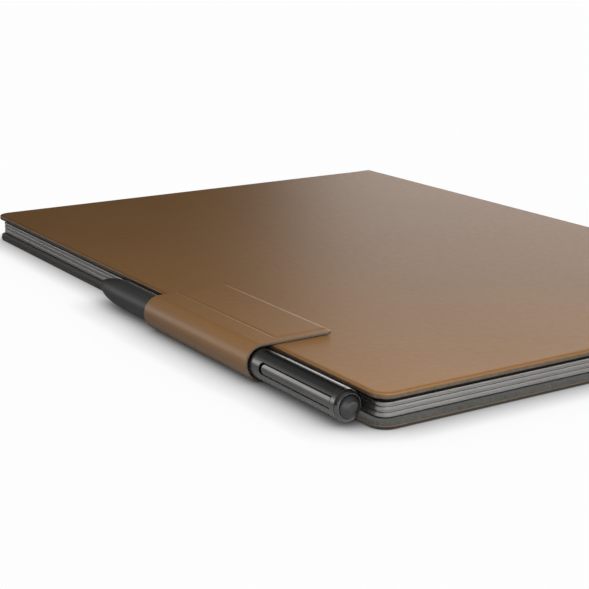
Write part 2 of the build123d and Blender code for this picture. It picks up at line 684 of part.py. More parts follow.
with BuildPart() as pen_clip_ring:
    with BuildSketch(ypl(y_ring1)):
        Circle(pen_r)
        Circle(bore_r, mode=Mode.SUBTRACT)
    extrude(amount=y_ring1 - y_ring0, dir=(0, -1, 0))
    rim = [e for e in pen_clip_ring.edges().filter_by(GeomType.CIRCLE) if e.radius > pen_r - 0.01]
    chamfer(rim, length=0.09)
save(pen_clip_ring.part, "pen_clip_ring")

clip_in = 3.52
with BuildPart() as pen_clip:
    with BuildSketch(ypl(y_clip)):
        Circle(pen_r - 0.02)
        Circle(clip_in, mode=Mode.SUBTRACT)
    extrude(amount=y_clip - y_ring1 - 0.08, dir=(0, -1, 0))
    with BuildSketch(clip_plane.offset(clip_in - 1.2)):
        s0, s1 = YN + y_ring1, YN + y_clip
        with Locations(((s0 + s1) / 2, 0)):
            rr = Rectangle(s1 - s0, 2 * clip_half_w)
        fillet(rr.vertices().group_by(Axis.X)[-1], radius=clip_half_w - 0.05)
    extrude(amount=4.0, mode=Mode.INTERSECT)
    rim = [e for e in pen_clip.edges()
           if all(abs(((e @ t).X - PX) ** 2 + ((e @ t).Z - PZ) ** 2 - (pen_r - 0.02) ** 2) < 0.02 for t in (0.0, 0.5, 1.0))]
    chamfer(rim, length=0.12)
save(pen_clip.part, "pen_clip")

button_r = 3.15
with BuildPart() as pen_end_cap:
    with BuildSketch(Plane(origin=(PX, YN + y_ring0, PZ), x_dir=(1, 0, 0), z_dir=(0, 0, 1))):
        with BuildLine():
            Polyline(
                (button_r + 0.08, 0.0), (pen_r - 0.22, 0.0), (pen_r - 0.10, -0.12), (pen_r - 0.12, -0.30),
                (pen_r - 0.30, -0.62), (button_r + 0.42, y_shoulder - y_ring0 + 0.10),
                (button_r + 0.28, y_shoulder - y_ring0), (button_r + 0.08, y_shoulder - y_ring0),
                close=True,
            )
        make_face()
    revolve(axis=Axis((PX, 0, PZ), (0, 1, 0)))
    with BuildSketch(ypl(y_ring0)):
        Circle(bore_r - 0.02)
        Circle(button_r + 0.08, mode=Mode.SUBTRACT)
    extrude(amount=5.2, dir=(0, 1, 0))
save(pen_end_cap.part, "pen_end_cap")

end_travel = 0.4
with BuildPart() as pen_end_button:
    with BuildSketch(Plane(origin=(PX, YN + y_shoulder, PZ), x_dir=(1, 0, 0), z_dir=(0, 0, 1))):
        with BuildLine():
            Line((0, 6.0), (button_r, 6.0))
            Line((button_r, 6.0), (button_r, 0.15))
            Spline(
                (button_r, 0.15), (button_r - 0.35, -0.55), (button_r - 1.2, -1.1), (0, y_dome - y_shoulder),
                tangents=[(0, -1), (-1, 0)],
            )
            Line((0, y_dome - y_shoulder), (0, 6.0))
        make_face()
    revolve(axis=Axis((PX, 0, PZ), (0, 1, 0)))
save(pen_end_button.part, "pen_end_button")

with BuildPart() as pen_end_switch:
    with BuildSketch(ypl(y_shoulder + 6.0 + end_travel + 0.1)):
        Circle(bore_r - 0.03)
    extrude(amount=3.0, dir=(0, 1, 0))
save(pen_end_switch.part, "pen_end_switch")

with BuildPart() as pen_grip:
    with BuildSketch(ypl(y_joint)):
        Circle(pen_r)
        Circle(bore_r, mode=Mode.SUBTRACT)
    extrude(amount=y_cone - y_joint, dir=(0, 1, 0))
save(pen_grip.part, "pen_grip")

with BuildPart() as pen_cone:
    with BuildSketch(Plane(origin=(PX, YN, PZ), x_dir=(1, 0, 0), z_dir=(0, 0, 1))):
        with BuildLine():
            Line((bore_r, y_cone), (pen_r, y_cone))
            Spline(
                (pen_r, y_cone), (3.98, 137.6), (3.28, 142.4), (2.30, 146.0), (1.25, y_tip),
                tangents=[(0, 1), (-0.55, 0.6)],
            )
            Line((1.25, y_tip), (0.85, y_tip))
            Line((0.85, y_tip), (0.85, 143.5))
            Line((0.85, 143.5), (2.1, 140.8))
            Line((2.1, 140.8), (2.6, y_cone + 2.0))
            Line((2.6, y_cone + 2.0), (bore_r, y_cone))
        make_face()
    revolve(axis=Axis((PX, 0, PZ), (0, 1, 0)))
save(pen_cone.part, "pen_cone")

with BuildPart() as pen_nib:
    with BuildSketch(Plane(origin=(PX, YN, PZ), x_dir=(1, 0, 0), z_dir=(0, 0, 1))):
        with BuildLine():
            Line((0, 126.6), (0.75, 126.6))
            Line((0.75, 126.6), (0.75, y_nib - 1.6))
            Spline((0.75, y_nib - 1.6), (0.55, y_nib - 0.45), (0, y_nib), tangents=[(0, 1), (-1, 0)])
            Line((0, y_nib), (0, 126.6))
        make_face()
    revolve(axis=Axis((PX, 0, PZ), (0, 1, 0)))
save(pen_nib.part, "pen_nib")

with BuildPart() as pen_coil:
    with BuildSketch(ypl(128.2)):
        Circle(1.9)
        Circle(0.85, mode=Mode.SUBTRACT)
    extrude(amount=11.8, dir=(0, 1, 0))
    with BuildSketch(ypl(129.0)):
        Circle(2.5)
        Circle(1.5, mode=Mode.SUBTRACT)
    extrude(amount=5.4, dir=(0, 1, 0))
save(pen_coil.part, "pen_coil")

nib_travel = 0.3
with BuildPart() as pen_pressure_sensor:
    with BuildSketch(ypl(119.6)):
        Circle(bore_r - 0.03)
    extrude(amount=6.6 - nib_travel, dir=(0, 1, 0))
    with BuildSketch(ypl(119.6)):
        Circle(bore_r - 0.03)
        Circle(0.86, mode=Mode.SUBTRACT)
    extrude(amount=8.6, dir=(0, 1, 0))
save(pen_pressure_sensor.part, "pen_pressure_sensor")

with BuildPart() as pen_circuit_board:
    with BuildSketch(ypl(66.0)):
        Rectangle(6.4, 0.8)
    extrude(amount=53.6, dir=(0, 1, 0))
    with BuildSketch(Plane(origin=(PX, 0, PZ + 0.4), x_dir=(1, 0, 0), z_dir=(0, 0, 1))):
        with Locations((0, YN + 78.0), (0, YN + 92.0), (0, YN + 106.0)):
            Rectangle(3.6, 5.0)
    extrude(amount=0.9)
save(pen_circuit_board.part, "pen_circuit_board")

print("XF %.3f XS %.3f YN %.3f pen axis x %.3f z %.3f" % (XF, XS, YN, PX, PZ))
print("fold lines: spine x %.3f z %.3f / %.3f; loop x %.3f z %.3f; tab x %.3f z %.3f"
      % (crease_x, crease_z0, crease_z1, HX, HZ, tab_fold_x, tab_fold_z))
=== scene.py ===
import json
import math

import bpy
import numpy as np
from mathutils import Matrix, Vector, noise


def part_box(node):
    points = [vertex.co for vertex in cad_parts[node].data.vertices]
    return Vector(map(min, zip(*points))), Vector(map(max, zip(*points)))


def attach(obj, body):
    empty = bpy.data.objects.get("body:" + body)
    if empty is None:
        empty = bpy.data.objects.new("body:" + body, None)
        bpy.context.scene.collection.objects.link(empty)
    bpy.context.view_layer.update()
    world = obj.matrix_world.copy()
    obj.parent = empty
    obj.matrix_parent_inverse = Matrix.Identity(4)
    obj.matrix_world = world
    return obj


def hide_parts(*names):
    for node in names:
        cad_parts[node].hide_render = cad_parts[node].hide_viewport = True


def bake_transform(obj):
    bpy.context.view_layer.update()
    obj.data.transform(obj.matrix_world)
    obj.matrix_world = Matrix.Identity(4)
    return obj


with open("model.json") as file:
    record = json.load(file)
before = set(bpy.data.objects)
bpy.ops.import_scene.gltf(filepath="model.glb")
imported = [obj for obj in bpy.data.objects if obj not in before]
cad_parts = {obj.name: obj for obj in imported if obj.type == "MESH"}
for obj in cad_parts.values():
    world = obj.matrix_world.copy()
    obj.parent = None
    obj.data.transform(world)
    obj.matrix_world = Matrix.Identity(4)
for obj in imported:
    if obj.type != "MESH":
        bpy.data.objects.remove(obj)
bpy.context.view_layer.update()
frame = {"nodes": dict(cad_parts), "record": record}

MM = 0.001
nodes = frame["nodes"]


def mmbox(n):
    a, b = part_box(n)
    return np.array(a) / MM, np.array(b) / MM


# ---------------------------------------------------------------------------
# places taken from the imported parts, in millimetres
# ---------------------------------------------------------------------------
fc_a, fc_b = mmbox("front_cover_leather")
bc_a, bc_b = mmbox("back_cover_leather")
bl_a, bl_b = mmbox("back_cover_lining")
fl_a, fl_b = mmbox("front_cover_lining")
sp_a, sp_b = mmbox("spine_leather")
lb_a, lb_b = mmbox("loop_base_leather")
lo_a, lo_b = mmbox("loop_leather")
ta_a, ta_b = mmbox("tab_leather")
tl_a, tl_b = mmbox("tab_lining")
gr_a, gr_b = mmbox("pen_grip")
PX, PZ = (gr_a[0] + gr_b[0]) / 2, (gr_a[2] + gr_b[2]) / 2
XF, XS = fc_a[0], sp_b[0]
YN, YF = fc_a[1], fc_b[1]
R_OUT = PX - lo_a[0]
R_MID = ta_b[2] - (ta_b[2] - tl_b[2]) - PZ
R_IN = tl_a[2] - PZ
FY0, FY1 = ta_a[1], ta_b[1]
HINGE_A = 220.0


# ---------------------------------------------------------------------------
# mesh helpers
# ---------------------------------------------------------------------------
def make(name, verts, faces, material, sharp=40.0, mats=None, attrs=None):
    """verts in mm; faces lists; mats: one material index per face; attrs: name -> values."""
    me = bpy.data.meshes.new(name)
    me.from_pydata([tuple(float(c) * MM for c in v) for v in verts], [], faces)
    me.validate()
    me.update()
    ob = bpy.data.objects.new(name, me)
    bpy.context.scene.collection.objects.link(ob)
    for m in material if isinstance(material, (list, tuple)) else [material]:
        me.materials.append(m)
    if mats is not None:
        me.polygons.foreach_set("material_index", np.array(mats, np.int32))
    me.polygons.foreach_set("use_smooth", np.ones(len(me.polygons), bool))
    if sharp:
        me.set_sharp_from_angle(angle=math.radians(sharp))
    rest = me.attributes.new("co_rest", "FLOAT_VECTOR", "POINT")
    co = np.zeros(len(me.vertices) * 3, np.float32)
    me.vertices.foreach_get("co", co)
    rest.data.foreach_set("vector", co)
    for k, vals in (attrs or {}).items():
        at = me.attributes.new(k, "FLOAT", "POINT")
        at.data.foreach_set("value", np.array(vals, np.float32))
    return ob


def fix_normals(ob):
    import bmesh

    bm = bmesh.new()
    bm.from_mesh(ob.data)
    bmesh.ops.recalc_face_normals(bm, faces=bm.faces)
    bm.to_mesh(ob.data)
    bm.free()
    ob.data.set_sharp_from_angle(angle=math.radians(40))
    return ob


def wob(x, y, z, scale, seed=0.0):
    """Smooth repeatable variation in -1..1."""
    return noise.noise(Vector((x / scale + seed, y / scale - seed * 0.7, z / scale + seed * 0.3)))


class Plate:
    """A sheet with a rounded outline: a quad grid on top and below, joined by rings round its edge."""

    def __init__(self, x0, x1, y0, y1, r_lo, r_hi, lines, step, d0):
        self.x0, self.x1, self.y0, self.y1 = x0, x1, y0, y1
        self.r_lo, self.r_hi, self.d0 = r_lo, r_hi, d0
        self.gx = self.axis(x0, x1, lines, step)
        self.gy = self.axis(y0, y1, lines, step)
        self.v, self.f, self.inset, self.side = [], [], [], []

    def axis(self, a, b, lines, step):
        ls = sorted(lines)
        m0, m1 = a + ls[-1], b - ls[-1]
        n = max(1, int(round((m1 - m0) / step)))
        mid = [m0 + (m1 - m0) * i / n for i in range(1, n)]
        return [a + l for l in ls] + mid + [b - l for l in reversed(ls)]

    def place(self, x, y, d=None):
        """Point of the flat grid put on the rounded outline; d moves a border point to that inset."""
        left = (x - self.x0) < (self.x1 - x)
        low = (y - self.y0) < (self.y1 - y)
        dx = (x - self.x0) if left else (self.x1 - x)
        dy = (y - self.y0) if low else (self.y1 - y)
        r = self.r_lo if left else self.r_hi
        if dx < r and dy < r:
            a, b = r - dx, r - dy
            m, h = max(a, b), math.hypot(a, b)
            if d is not None:
                m = r - d
            a, b = a * m / h, b * m / h
            dx, dy = r - a, r - b
            ins = r - m
        else:
            if d is not None:
                if dx <= dy:
                    dx = d
                else:
                    dy = d
            ins = min(dx, dy)
        px = self.x0 + dx if left else self.x1 - dx
        py = self.y0 + dy if low else self.y1 - dy
        return px, py, ins

    def build(self, top, bottom, rings):
        gx, gy = self.gx, self.gy
        nx, ny = len(gx), len(gy)
        V, F = self.v, self.f

        def grid(fn, flip, tag):
            base = len(V)
            for j in range(ny):
                for i in range(nx):
                    px, py, ins = self.place(gx[i], gy[j])
                    V.append((px, py, fn(px, py, ins)))
                    self.inset.append(ins)
                    self.side.append(tag)
            for j in range(ny - 1):
                for i in range(nx - 1):
                    q = [base + j * nx + i, base + j * nx + i + 1, base + (j + 1) * nx + i + 1, base + (j + 1) * nx + i]
                    F.append(q[::-1] if flip else q)
            return base

        b_top = grid(top, False, 0.0)
        b_bot = grid(bottom, True, 1.0)
        border = (
            [(i, 0) for i in range(nx)]
            + [(nx - 1, j) for j in range(1, ny)]
            + [(i, ny - 1) for i in range(nx - 2, -1, -1)]
            + [(0, j) for j in range(ny - 2, 0, -1)]
        )
        prev = [b_top + j * nx + i for i, j in border]
        for d, z, tag in rings:
            cur = []
            for i, j in border:
                px, py, ins = self.place(gx[i], gy[j], d)
                zz = z(px, py) if callable(z) else z
                cur.append(len(V))
                V.append((px, py, zz))
                self.inset.append(d)
                self.side.append(tag)
            self.join(prev, cur)
            prev = cur
        self.join(prev, [b_bot + j * nx + i for i, j in border])
        return V, F

    def join(self, a, b):
        n = len(a)
        for k in range(n):
            self.f.append([a[k], b[k], b[(k + 1) % n], a[(k + 1) % n]])


def loft(rows, closed_ring=True, caps=True):
    """rows: list of rings (equal length). Joins them and closes the two ends."""
    V, F = [], []
    n = len(rows[0])
    for r in rows:
        V += list(r)
    for k in range(len(rows) - 1):
        for i in range(n if closed_ring else n - 1):
            a, b = k * n + i, k * n + (i + 1) % n
            F.append([a, b, b + n, a + n])
    if caps:
        F.append(list(range(n))[::-1])
        F.append([(len(rows) - 1) * n + i for i in range(n)])
    return V, F


# ---------------------------------------------------------------------------
# materials
# ---------------------------------------------------------------------------
class Mat:
    def __init__(self, name):
        self.m = bpy.data.materials.new(name)
        self.m.use_nodes = True
        self.t = self.m.node_tree
        self.t.nodes.clear()
        self.out = self.n("ShaderNodeOutputMaterial")
        self.b = self.n("ShaderNodeBsdfPrincipled")
        self.l(self.b.outputs[0], self.out.inputs[0])

    def n(self, kind, **kw):
        x = self.t.nodes.new(kind)
        for k, v in kw.items():
            setattr(x, k, v)
        return x

    def l(self, a, b):
        self.t.links.new(a, b)

    def set(self, **kw):
        for k, v in kw.items():
            self.b.inputs[k.replace("_", " ")].default_value = v

    def coords(self, own):
        if own:
            return self.n("ShaderNodeAttribute", attribute_name="co_rest").outputs["Vector"]
        return self.n("ShaderNodeTexCoord").outputs["Object"]

    def mapped(self, src, scale=(1, 1, 1)):
        mp = self.n("ShaderNodeMapping")
        mp.inputs["Scale"].default_value = scale
        self.l(src, mp.inputs["Vector"])
        return mp.outputs[0]

    def noise(self, src, scale, detail=2.0, rough=0.5, dist=0.0):
        x = self.n("ShaderNodeTexNoise")
        x.inputs["Scale"].default_value = scale
        x.inputs["Detail"].default_value = detail
        x.inputs["Roughness"].default_value = rough
        x.inputs["Distortion"].default_value = dist
        self.l(src, x.inputs["Vector"])
        return x.outputs["Fac"]

    def voronoi(self, src, scale, feature="SMOOTH_F1", rnd=1.0):
        x = self.n("ShaderNodeTexVoronoi", feature=feature)
        x.inputs["Scale"].default_value = scale
        x.inputs["Randomness"].default_value = rnd
        self.l(src, x.inputs["Vector"])
        return x.outputs["Distance"]

    def math(self, op, a, b=None, clamp=False):
        x = self.n("ShaderNodeMath", operation=op, use_clamp=clamp)
        for i, v in enumerate([a, b]):
            if v is None:
                continue
            if isinstance(v, (int, float)):
                x.inputs[i].default_value = v
            else:
                self.l(v, x.inputs[i])
        return x.outputs[0]

    def ramp(self, src, stops, interp="LINEAR"):
        x = self.n("ShaderNodeValToRGB")
        cr = x.color_ramp
        cr.interpolation = interp
        while len(cr.elements) > 1:
            cr.elements.remove(cr.elements[0])
        cr.elements[0].position = stops[0][0]
        cr.elements[0].color = (*stops[0][1], 1)
        for p, c in stops[1:]:
            e = cr.elements.new(p)
            e.color = (*c, 1)
        self.l(src, x.inputs[0])
        return x.outputs[0]

    def span(self, src, a, b, lo=0.0, hi=1.0):
        x = self.n("ShaderNodeMapRange")
        for k, v in (("From Min", a), ("From Max", b), ("To Min", lo), ("To Max", hi)):
            x.inputs[k].default_value = v
        self.l(src, x.inputs["Value"])
        return x.outputs["Result"]

    def mix(self, fac, a, b, mode="MIX"):
        x = self.n("ShaderNodeMix", data_type="RGBA", blend_type=mode)
        for i, v in ((0, fac), (6, a), (7, b)):
            if isinstance(v, (int, float)):
                x.inputs[i].default_value = v
            elif isinstance(v, tuple):
                x.inputs[i].default_value = (*v, 1)
            else:
                self.l(v, x.inputs[i])
        return x.outputs[2]

    def bump(self, height, strength, distance, prev=None):
        x = self.n("ShaderNodeBump")
        x.inputs["Strength"].default_value = strength
        x.inputs["Distance"].default_value = distance
        self.l(height, x.inputs["Height"])
        if prev is not None:
            self.l(prev, x.inputs["Normal"])
        return x.outputs[0]

    def to(self, socket, src):
        self.l(src, self.b.inputs[socket])


def lin(r, g, b):
    return tuple(((c / 255) / 12.92) if c / 255 <= 0.04045 else (((c / 255) + 0.055) / 1.055) ** 2.4 for c in (r, g, b))


def leather(name, base, dark, pressed, rough=0.36, grain=1.0):
    m = Mat(name)
    co = m.coords(True)
    broad = m.noise(co, 22.0, 3.0, 0.55)
    fine = m.noise(co, 900.0, 3.0, 0.6)
    cells = m.voronoi(co, 1500.0)
    pores = m.voronoi(co, 700.0, "F1")
    col = m.ramp(broad, [(0.3, dark), (0.5, base), (0.7, tuple(min(1, c * 1.03) for c in base))])
    col = m.mix(m.span(fine, 0.25, 0.75, 0.0, 0.16), col, tuple(c * 0.72 for c in base))
    at = m.n("ShaderNodeAttribute", attribute_name="press")
    col = m.mix(at.outputs["Fac"], col, pressed)
    ed = m.n("ShaderNodeAttribute", attribute_name="edge")
    col = m.mix(ed.outputs["Fac"], col, m.ramp(fine, [(0.3, (0.048, 0.034, 0.021)), (0.7, (0.084, 0.062, 0.041))]))
    # painted shade: the shade attribute darkens the colour to near black on faces a piece marks as lying in shadow
    sh = m.n("ShaderNodeAttribute", attribute_name="shade")
    col = m.mix(sh.outputs["Fac"], col, (0.010, 0.008, 0.006))
    m.to("Base Color", col)
    m.to("Roughness", m.span(m.noise(co, 420.0, 4.0, 0.6), 0.3, 0.7, rough - 0.03, rough + 0.03))
    b1 = m.bump(cells, 0.16 * grain, 0.00006)
    b2 = m.bump(pores, 0.10 * grain, 0.00005, b1)
    b3 = m.bump(m.noise(co, 260.0, 3.0, 0.5), 0.12, 0.00005, b2)
    m.to("Normal", b3)
    m.set(IOR=1.48)
    m.b.inputs["Specular IOR Level"].default_value = 0.42
    m.b.inputs["Sheen Weight"].default_value = 0.0
    m.b.inputs["Sheen Roughness"].default_value = 0.5
    return m.m


L_BASE = (0.205, 0.1066, 0.0415)
L_DARK = (0.197, 0.1010, 0.0385)
L_PRESS = (0.150, 0.0670, 0.0170)
M_LEATHER = leather("leather_top", L_BASE, L_DARK, L_PRESS)
M_LOOP = leather("leather_flap", L_BASE, L_DARK, (0.120, 0.056, 0.018))


def cut_edge():
    m = Mat("leather_cut_edge")
    co = m.coords(True)
    fib = m.noise(m.mapped(co, (1400, 1400, 5200)), 1.0, 4.0, 0.65)
    m.to("Base Color", m.ramp(fib, [(0.3, (0.034, 0.026, 0.019)), (0.55, (0.070, 0.056, 0.042)), (0.8, (0.100, 0.084, 0.066))]))
    m.to("Normal", m.bump(fib, 0.5, 0.00008))
    m.set(Roughness=0.72)
    return m.m


M_CUT = cut_edge()


def felt(name, c0, c1, own=True, up=True):
    m = Mat(name)
    co = m.coords(own)
    strands = m.noise(m.mapped(co, (1500, 1500, 260)), 1.0, 5.0, 0.7, 0.3)
    broad = m.noise(co, 60.0, 2.0, 0.5)
    nap = m.noise(co, 2600.0, 3.0, 0.7, 0.4)
    c = m.ramp(strands, [(0.28, c0), (0.72, c1)])
    c = m.mix(m.span(broad, 0.3, 0.7, 0.0, 0.25), c, tuple(x * 0.8 for x in c0))
    m.to("Base Color", c)
    n1 = m.bump(strands, 0.7, 0.00012)
    m.to("Normal", m.bump(nap, 0.5, 0.00006, n1))
    m.set(Roughness=0.93)
    m.b.inputs["Sheen Weight"].default_value = 0.10
    m.b.inputs["Sheen Roughness"].default_value = 0.55
    m.b.inputs["Specular IOR Level"].default_value = 0.15
    return m.m


M_FELT = felt("felt_back", (0.024, 0.024, 0.0225), (0.056, 0.057, 0.051))
M_NAP = felt("felt_front", (0.060, 0.060, 0.057), (0.105, 0.106, 0.100))
M_LOOPLIN = felt("felt_loop", (0.030, 0.029, 0.028), (0.060, 0.059, 0.056))


def metal(name, col, rough, brush=(1, 1, 1), amount=0.08, bump=0.05, metallic=1.0, var=0.0):
    m = Mat(name)
    co = m.coords(False)
    n1 = m.noise(m.mapped(co, brush), 1.0, 4.0, 0.6)
    m.to("Roughness", m.span(n1, 0.25, 0.75, rough - amount / 2, rough + amount / 2))
    tint = m.noise(co, 120.0, 3.0, 0.6)
    m.to("Base Color", m.ramp(tint, [(0.3, tuple(c * (0.94 - var) for c in col)), (0.7, tuple(min(1, c * (1.04 + var)) for c in col))]))
    m.to("Normal", m.bump(n1, bump, 0.00003))
    m.set(Metallic=metallic)
    return m.m


def plastic(name, col, rough, grain=900.0, bump=0.12, spec=0.5, var=0.10):
    m = Mat(name)
    co = m.coords(False)
    g = m.noise(co, grain, 3.0, 0.6)
    b = m.noise(co, 70.0, 3.0, 0.5)
    m.to("Base Color", m.ramp(b, [(0.3, tuple(c * (1 - var) for c in col)), (0.7, tuple(min(1, c * (1 + var)) for c in col))]))
    m.to("Roughness", m.span(g, 0.25, 0.75, rough - 0.05, rough + 0.05))
    m.to("Normal", m.bump(g, bump, 0.00003))
    m.b.inputs["Specular IOR Level"].default_value = spec
    return m.m


FRAME_COL = (0.41, 0.40, 0.385)
M = {
    "frame_alu": metal("frame_alu", FRAME_COL, 0.40, (500, 30, 4000), 0.10, 0.06),
    "plate_alu": metal("plate_alu", (0.55, 0.55, 0.56), 0.42, (60, 900, 900)),
    "button_alu": metal("button_alu", (0.36, 0.355, 0.345), 0.30, (2500, 60, 60)),
    "can_steel": metal("can_steel", (0.62, 0.62, 0.60), 0.30, (300, 300, 300)),
    "magnet": metal("magnet", (0.40, 0.40, 0.42), 0.28, (200, 200, 200)),
    "screw_steel": metal("screw_steel", (0.25, 0.25, 0.26), 0.32, (900, 900, 900)),
    "coil": metal("coil", (0.60, 0.28, 0.12), 0.35, (100, 9000, 100), 0.2, 0.3),
    "rear_black": plastic("rear_black", (0.020, 0.020, 0.021), 0.55, 1400.0, 0.3),
    "board": plastic("board", (0.10, 0.095, 0.085), 0.85, 600.0, 0.3, 0.2),
    "foot_rubber": plastic("foot_rubber", (0.012, 0.012, 0.012), 0.8, 1500.0, 0.3, 0.3),
    "battery": plastic("battery", (0.30, 0.31, 0.33), 0.35, 300.0, 0.25),
    "gasket_black": plastic("gasket_black", (0.006, 0.006, 0.006), 0.6, 800.0, 0.1, 0.3),
    "flex": plastic("flex", (0.36, 0.17, 0.04), 0.35, 500.0, 0.1),
    "epaper": plastic("epaper", (0.60, 0.60, 0.575), 0.75, 5200.0, 0.05, 0.2, 0.03),
    "nib": plastic("nib", (0.035, 0.035, 0.036), 0.5, 1500.0, 0.15),
}


def pcb():
    m = Mat("pcb")
    co = m.coords(False)
    br = m.n("ShaderNodeTexBrick")
    m.l(m.mapped(co, (420, 420, 420)), br.inputs["Vector"])
    br.inputs["Color1"].default_value = (0.010, 0.060, 0.030, 1)
    br.inputs["Color2"].default_value = (0.012, 0.075, 0.038, 1)
    br.inputs["Mortar"].default_value = (0.030, 0.130, 0.070, 1)
    br.inputs["Scale"].default_value = 1.0
    m.to("Base Color", br.outputs["Color"])
    m.to("Normal", m.bump(br.outputs["Fac"], 0.3, 0.00003))
    m.set(Roughness=0.38)
    return m.m


M["pcb"] = pcb()


def glass(name, rough, edge_dark, halo, spec=0.5):
    """Thin clear sheet that lets lamp light through; the printed border keeps its rim dark."""
    m = Mat(name)
    co = m.coords(False)
    g = m.noise(co, 3000.0, 2.0, 0.5)
    m.to("Normal", m.bump(g, 0.03, 0.00002))
    m.set(Roughness=rough, IOR=1.5)
    m.b.inputs["Base Color"].default_value = (0.0, 0.0, 0.0, 1)
    m.b.inputs["Specular IOR Level"].default_value = spec
    clear = m.n("ShaderNodeBsdfTransparent")
    clear.inputs["Color"].default_value = (0.985, 0.987, 0.985, 1)
    add = m.n("ShaderNodeAddShader")
    m.l(clear.outputs[0], add.inputs[0])
    m.l(m.b.outputs[0], add.inputs[1])
    m.l(add.outputs[0], m.out.inputs[0])
    if edge_dark:
        a, b = mmbox("cover_glass")
        sep = m.n("ShaderNodeSeparateXYZ")
        m.l(co, sep.inputs[0])
        cx, hx = (a[0] + b[0]) / 2 * MM, (b[0] - a[0]) / 2 * MM
        hy = (b[1] - a[1]) / 2 * MM
        dx = m.math("ABSOLUTE", m.math("SUBTRACT", sep.outputs[0], cx))
        dy = m.math("ABSOLUTE", sep.outputs[1])
        ex = m.span(dx, hx - halo * MM, hx - (halo - 0.05) * MM)
        ey = m.span(dy, hy - halo * MM, hy - (halo - 0.05) * MM)
        rim = m.math("MAXIMUM", ex, ey, clamp=True)
        m.l(m.mix(rim, (0.975, 0.978, 0.975), (0.0, 0.0, 0.0)), clear.inputs["Color"])
        m.to("Base Color", m.mix(rim, (0.0, 0.0, 0.0), (0.006, 0.006, 0.006)))
    return m.m


M["cover_glass"] = glass("cover_glass", 0.22, True, 9.0)
M["clear_film"] = glass("clear_film", 0.25, False, 0, 0.08)


def pen_metal(name, col, rough, aniso, speck=0.05):
    m = Mat(name)
    co = m.coords(False)
    n1 = m.noise(m.mapped(co, (3000, 160, 3000)), 1.0, 3.0, 0.6)
    pop = m.noise(co, 5200.0, 2.0, 0.5)
    m.to("Base Color", m.ramp(m.noise(co, 90.0, 3.0, 0.5), [(0.3, tuple(c * 0.95 for c in col)), (0.7, tuple(c * 1.05 for c in col))]))
    m.to("Roughness", m.span(n1, 0.25, 0.75, rough - 0.03, rough + 0.03))
    m.to("Normal", m.bump(pop, speck, 0.00002))
    m.set(Metallic=1.0)
    m.b.inputs["Anisotropic"].default_value = aniso
    return m.m


M["pen_metal"] = pen_metal("pen_metal", (0.155, 0.152, 0.150), 0.27, 0.0)
M["clip_metal"] = pen_metal("clip_metal", (0.17, 0.167, 0.163), 0.24, 0.0)
M["pen_button"] = pen_metal("pen_button", (0.105, 0.103, 0.103), 0.44, 0.0)


def soft_touch():
    m = Mat("pen_soft")
    co = m.coords(False)
    g = m.noise(co, 4200.0, 3.0, 0.6)
    m.to("Base Color", m.ramp(m.noise(co, 60.0, 3.0, 0.5), [(0.3, (0.024, 0.0235, 0.023)), (0.7, (0.032, 0.031, 0.030))]))
    m.to("Roughness", m.span(g, 0.25, 0.75, 0.42, 0.50))
    m.to("Normal", m.bump(g, 0.12, 0.00002))
    m.b.inputs["Specular IOR Level"].default_value = 0.45
    return m.m


M["pen_soft"] = soft_touch()
M["leather_brown"] = M_LEATHER
M["felt_grey"] = M_FELT

slot_of = {}
for sub in frame["record"].get("subparts", []) or []:
    if isinstance(sub, dict) and sub.get("node"):
        slot_of[sub["node"]] = sub.get("material_slot")


def own_slot(n):
    if slot_of.get(n) in M:
        return slot_of[n]
    o = nodes[n]
    for m in o.data.materials:
        if m and m.name.split(".")[0] in M:
            return m.name.split(".")[0]
    return None


unplaced = []
for n, o in nodes.items():
    s = own_slot(n)
    if s not in M:
        unplaced.append((n, s))
        s = "board"
    o.data.materials.clear()
    o.data.materials.append(M[s])
    o.data.polygons.foreach_set("use_smooth", np.ones(len(o.data.polygons), bool))
    w = o.modifiers.new("weld", "WELD")
    w.merge_threshold = 2e-6
    e = o.modifiers.new("split", "EDGE_SPLIT")
    e.split_angle = math.radians(24)
if unplaced:
    print("NODES WITHOUT A SLOT", unplaced)

# ---------------------------------------------------------------------------
# front cover: leather wrapped over its board, with a pressed line inside the edge
# ---------------------------------------------------------------------------
LINES = [0.45, 0.55, 0.65, 0.75, 0.85, 0.95, 1.05, 1.15, 1.3, 1.45, 1.55, 1.60, 2.2, 2.6, 3.1, 3.6, 4.1, 4.6, 5.0]
SEAM_X = fc_b[0] - 2.0          # cover skin ends here; a hinge strip goes on to the spine


def press(ins, c=0.72, w=0.24):
    return math.exp(-(((ins - c) / w) ** 2))


def press_tone(ins):
    """Darkened band from the turned edge to just past the pressed line."""
    t = min(1.0, max(0.0, (1.15 - ins) / 0.35))
    return t * t * (3 - 2 * t)


def edge_free(px):
    """1 away from the spine side, 0 at the seam with the hinge strip."""
    return min(1.0, max(0.0, (SEAM_X - px) / 4.0))


z_top = fc_b[2]


def cover_top(px, py, ins):
    f = edge_free(px)
    # distance from the three free edges only
    z = z_top - 0.06 * math.exp(-max(0.0, ins - 0.45) / 0.35) * f
    z -= 0.045 * press(ins) * f
    z -= (0.022 + 0.022 * wob(px, py, 0, 42.0, 3.1)) * min(1.0, ins / 6.0) * f
    return z


def cover_bot(px, py, ins):
    """Turned-in border, with the lining let in inside it."""
    return fc_a[2] + (fl_b[2] + 0.03 - fc_a[2]) * min(1.0, max(0.0, (ins - 1.55) / 0.05))


FC = Plate(XF, SEAM_X, YN, YF, 5.0, 0.02, LINES, 4.0, 0.45)
# the seam side keeps a straight edge: insets there are measured from the free edges only
_place = FC.place


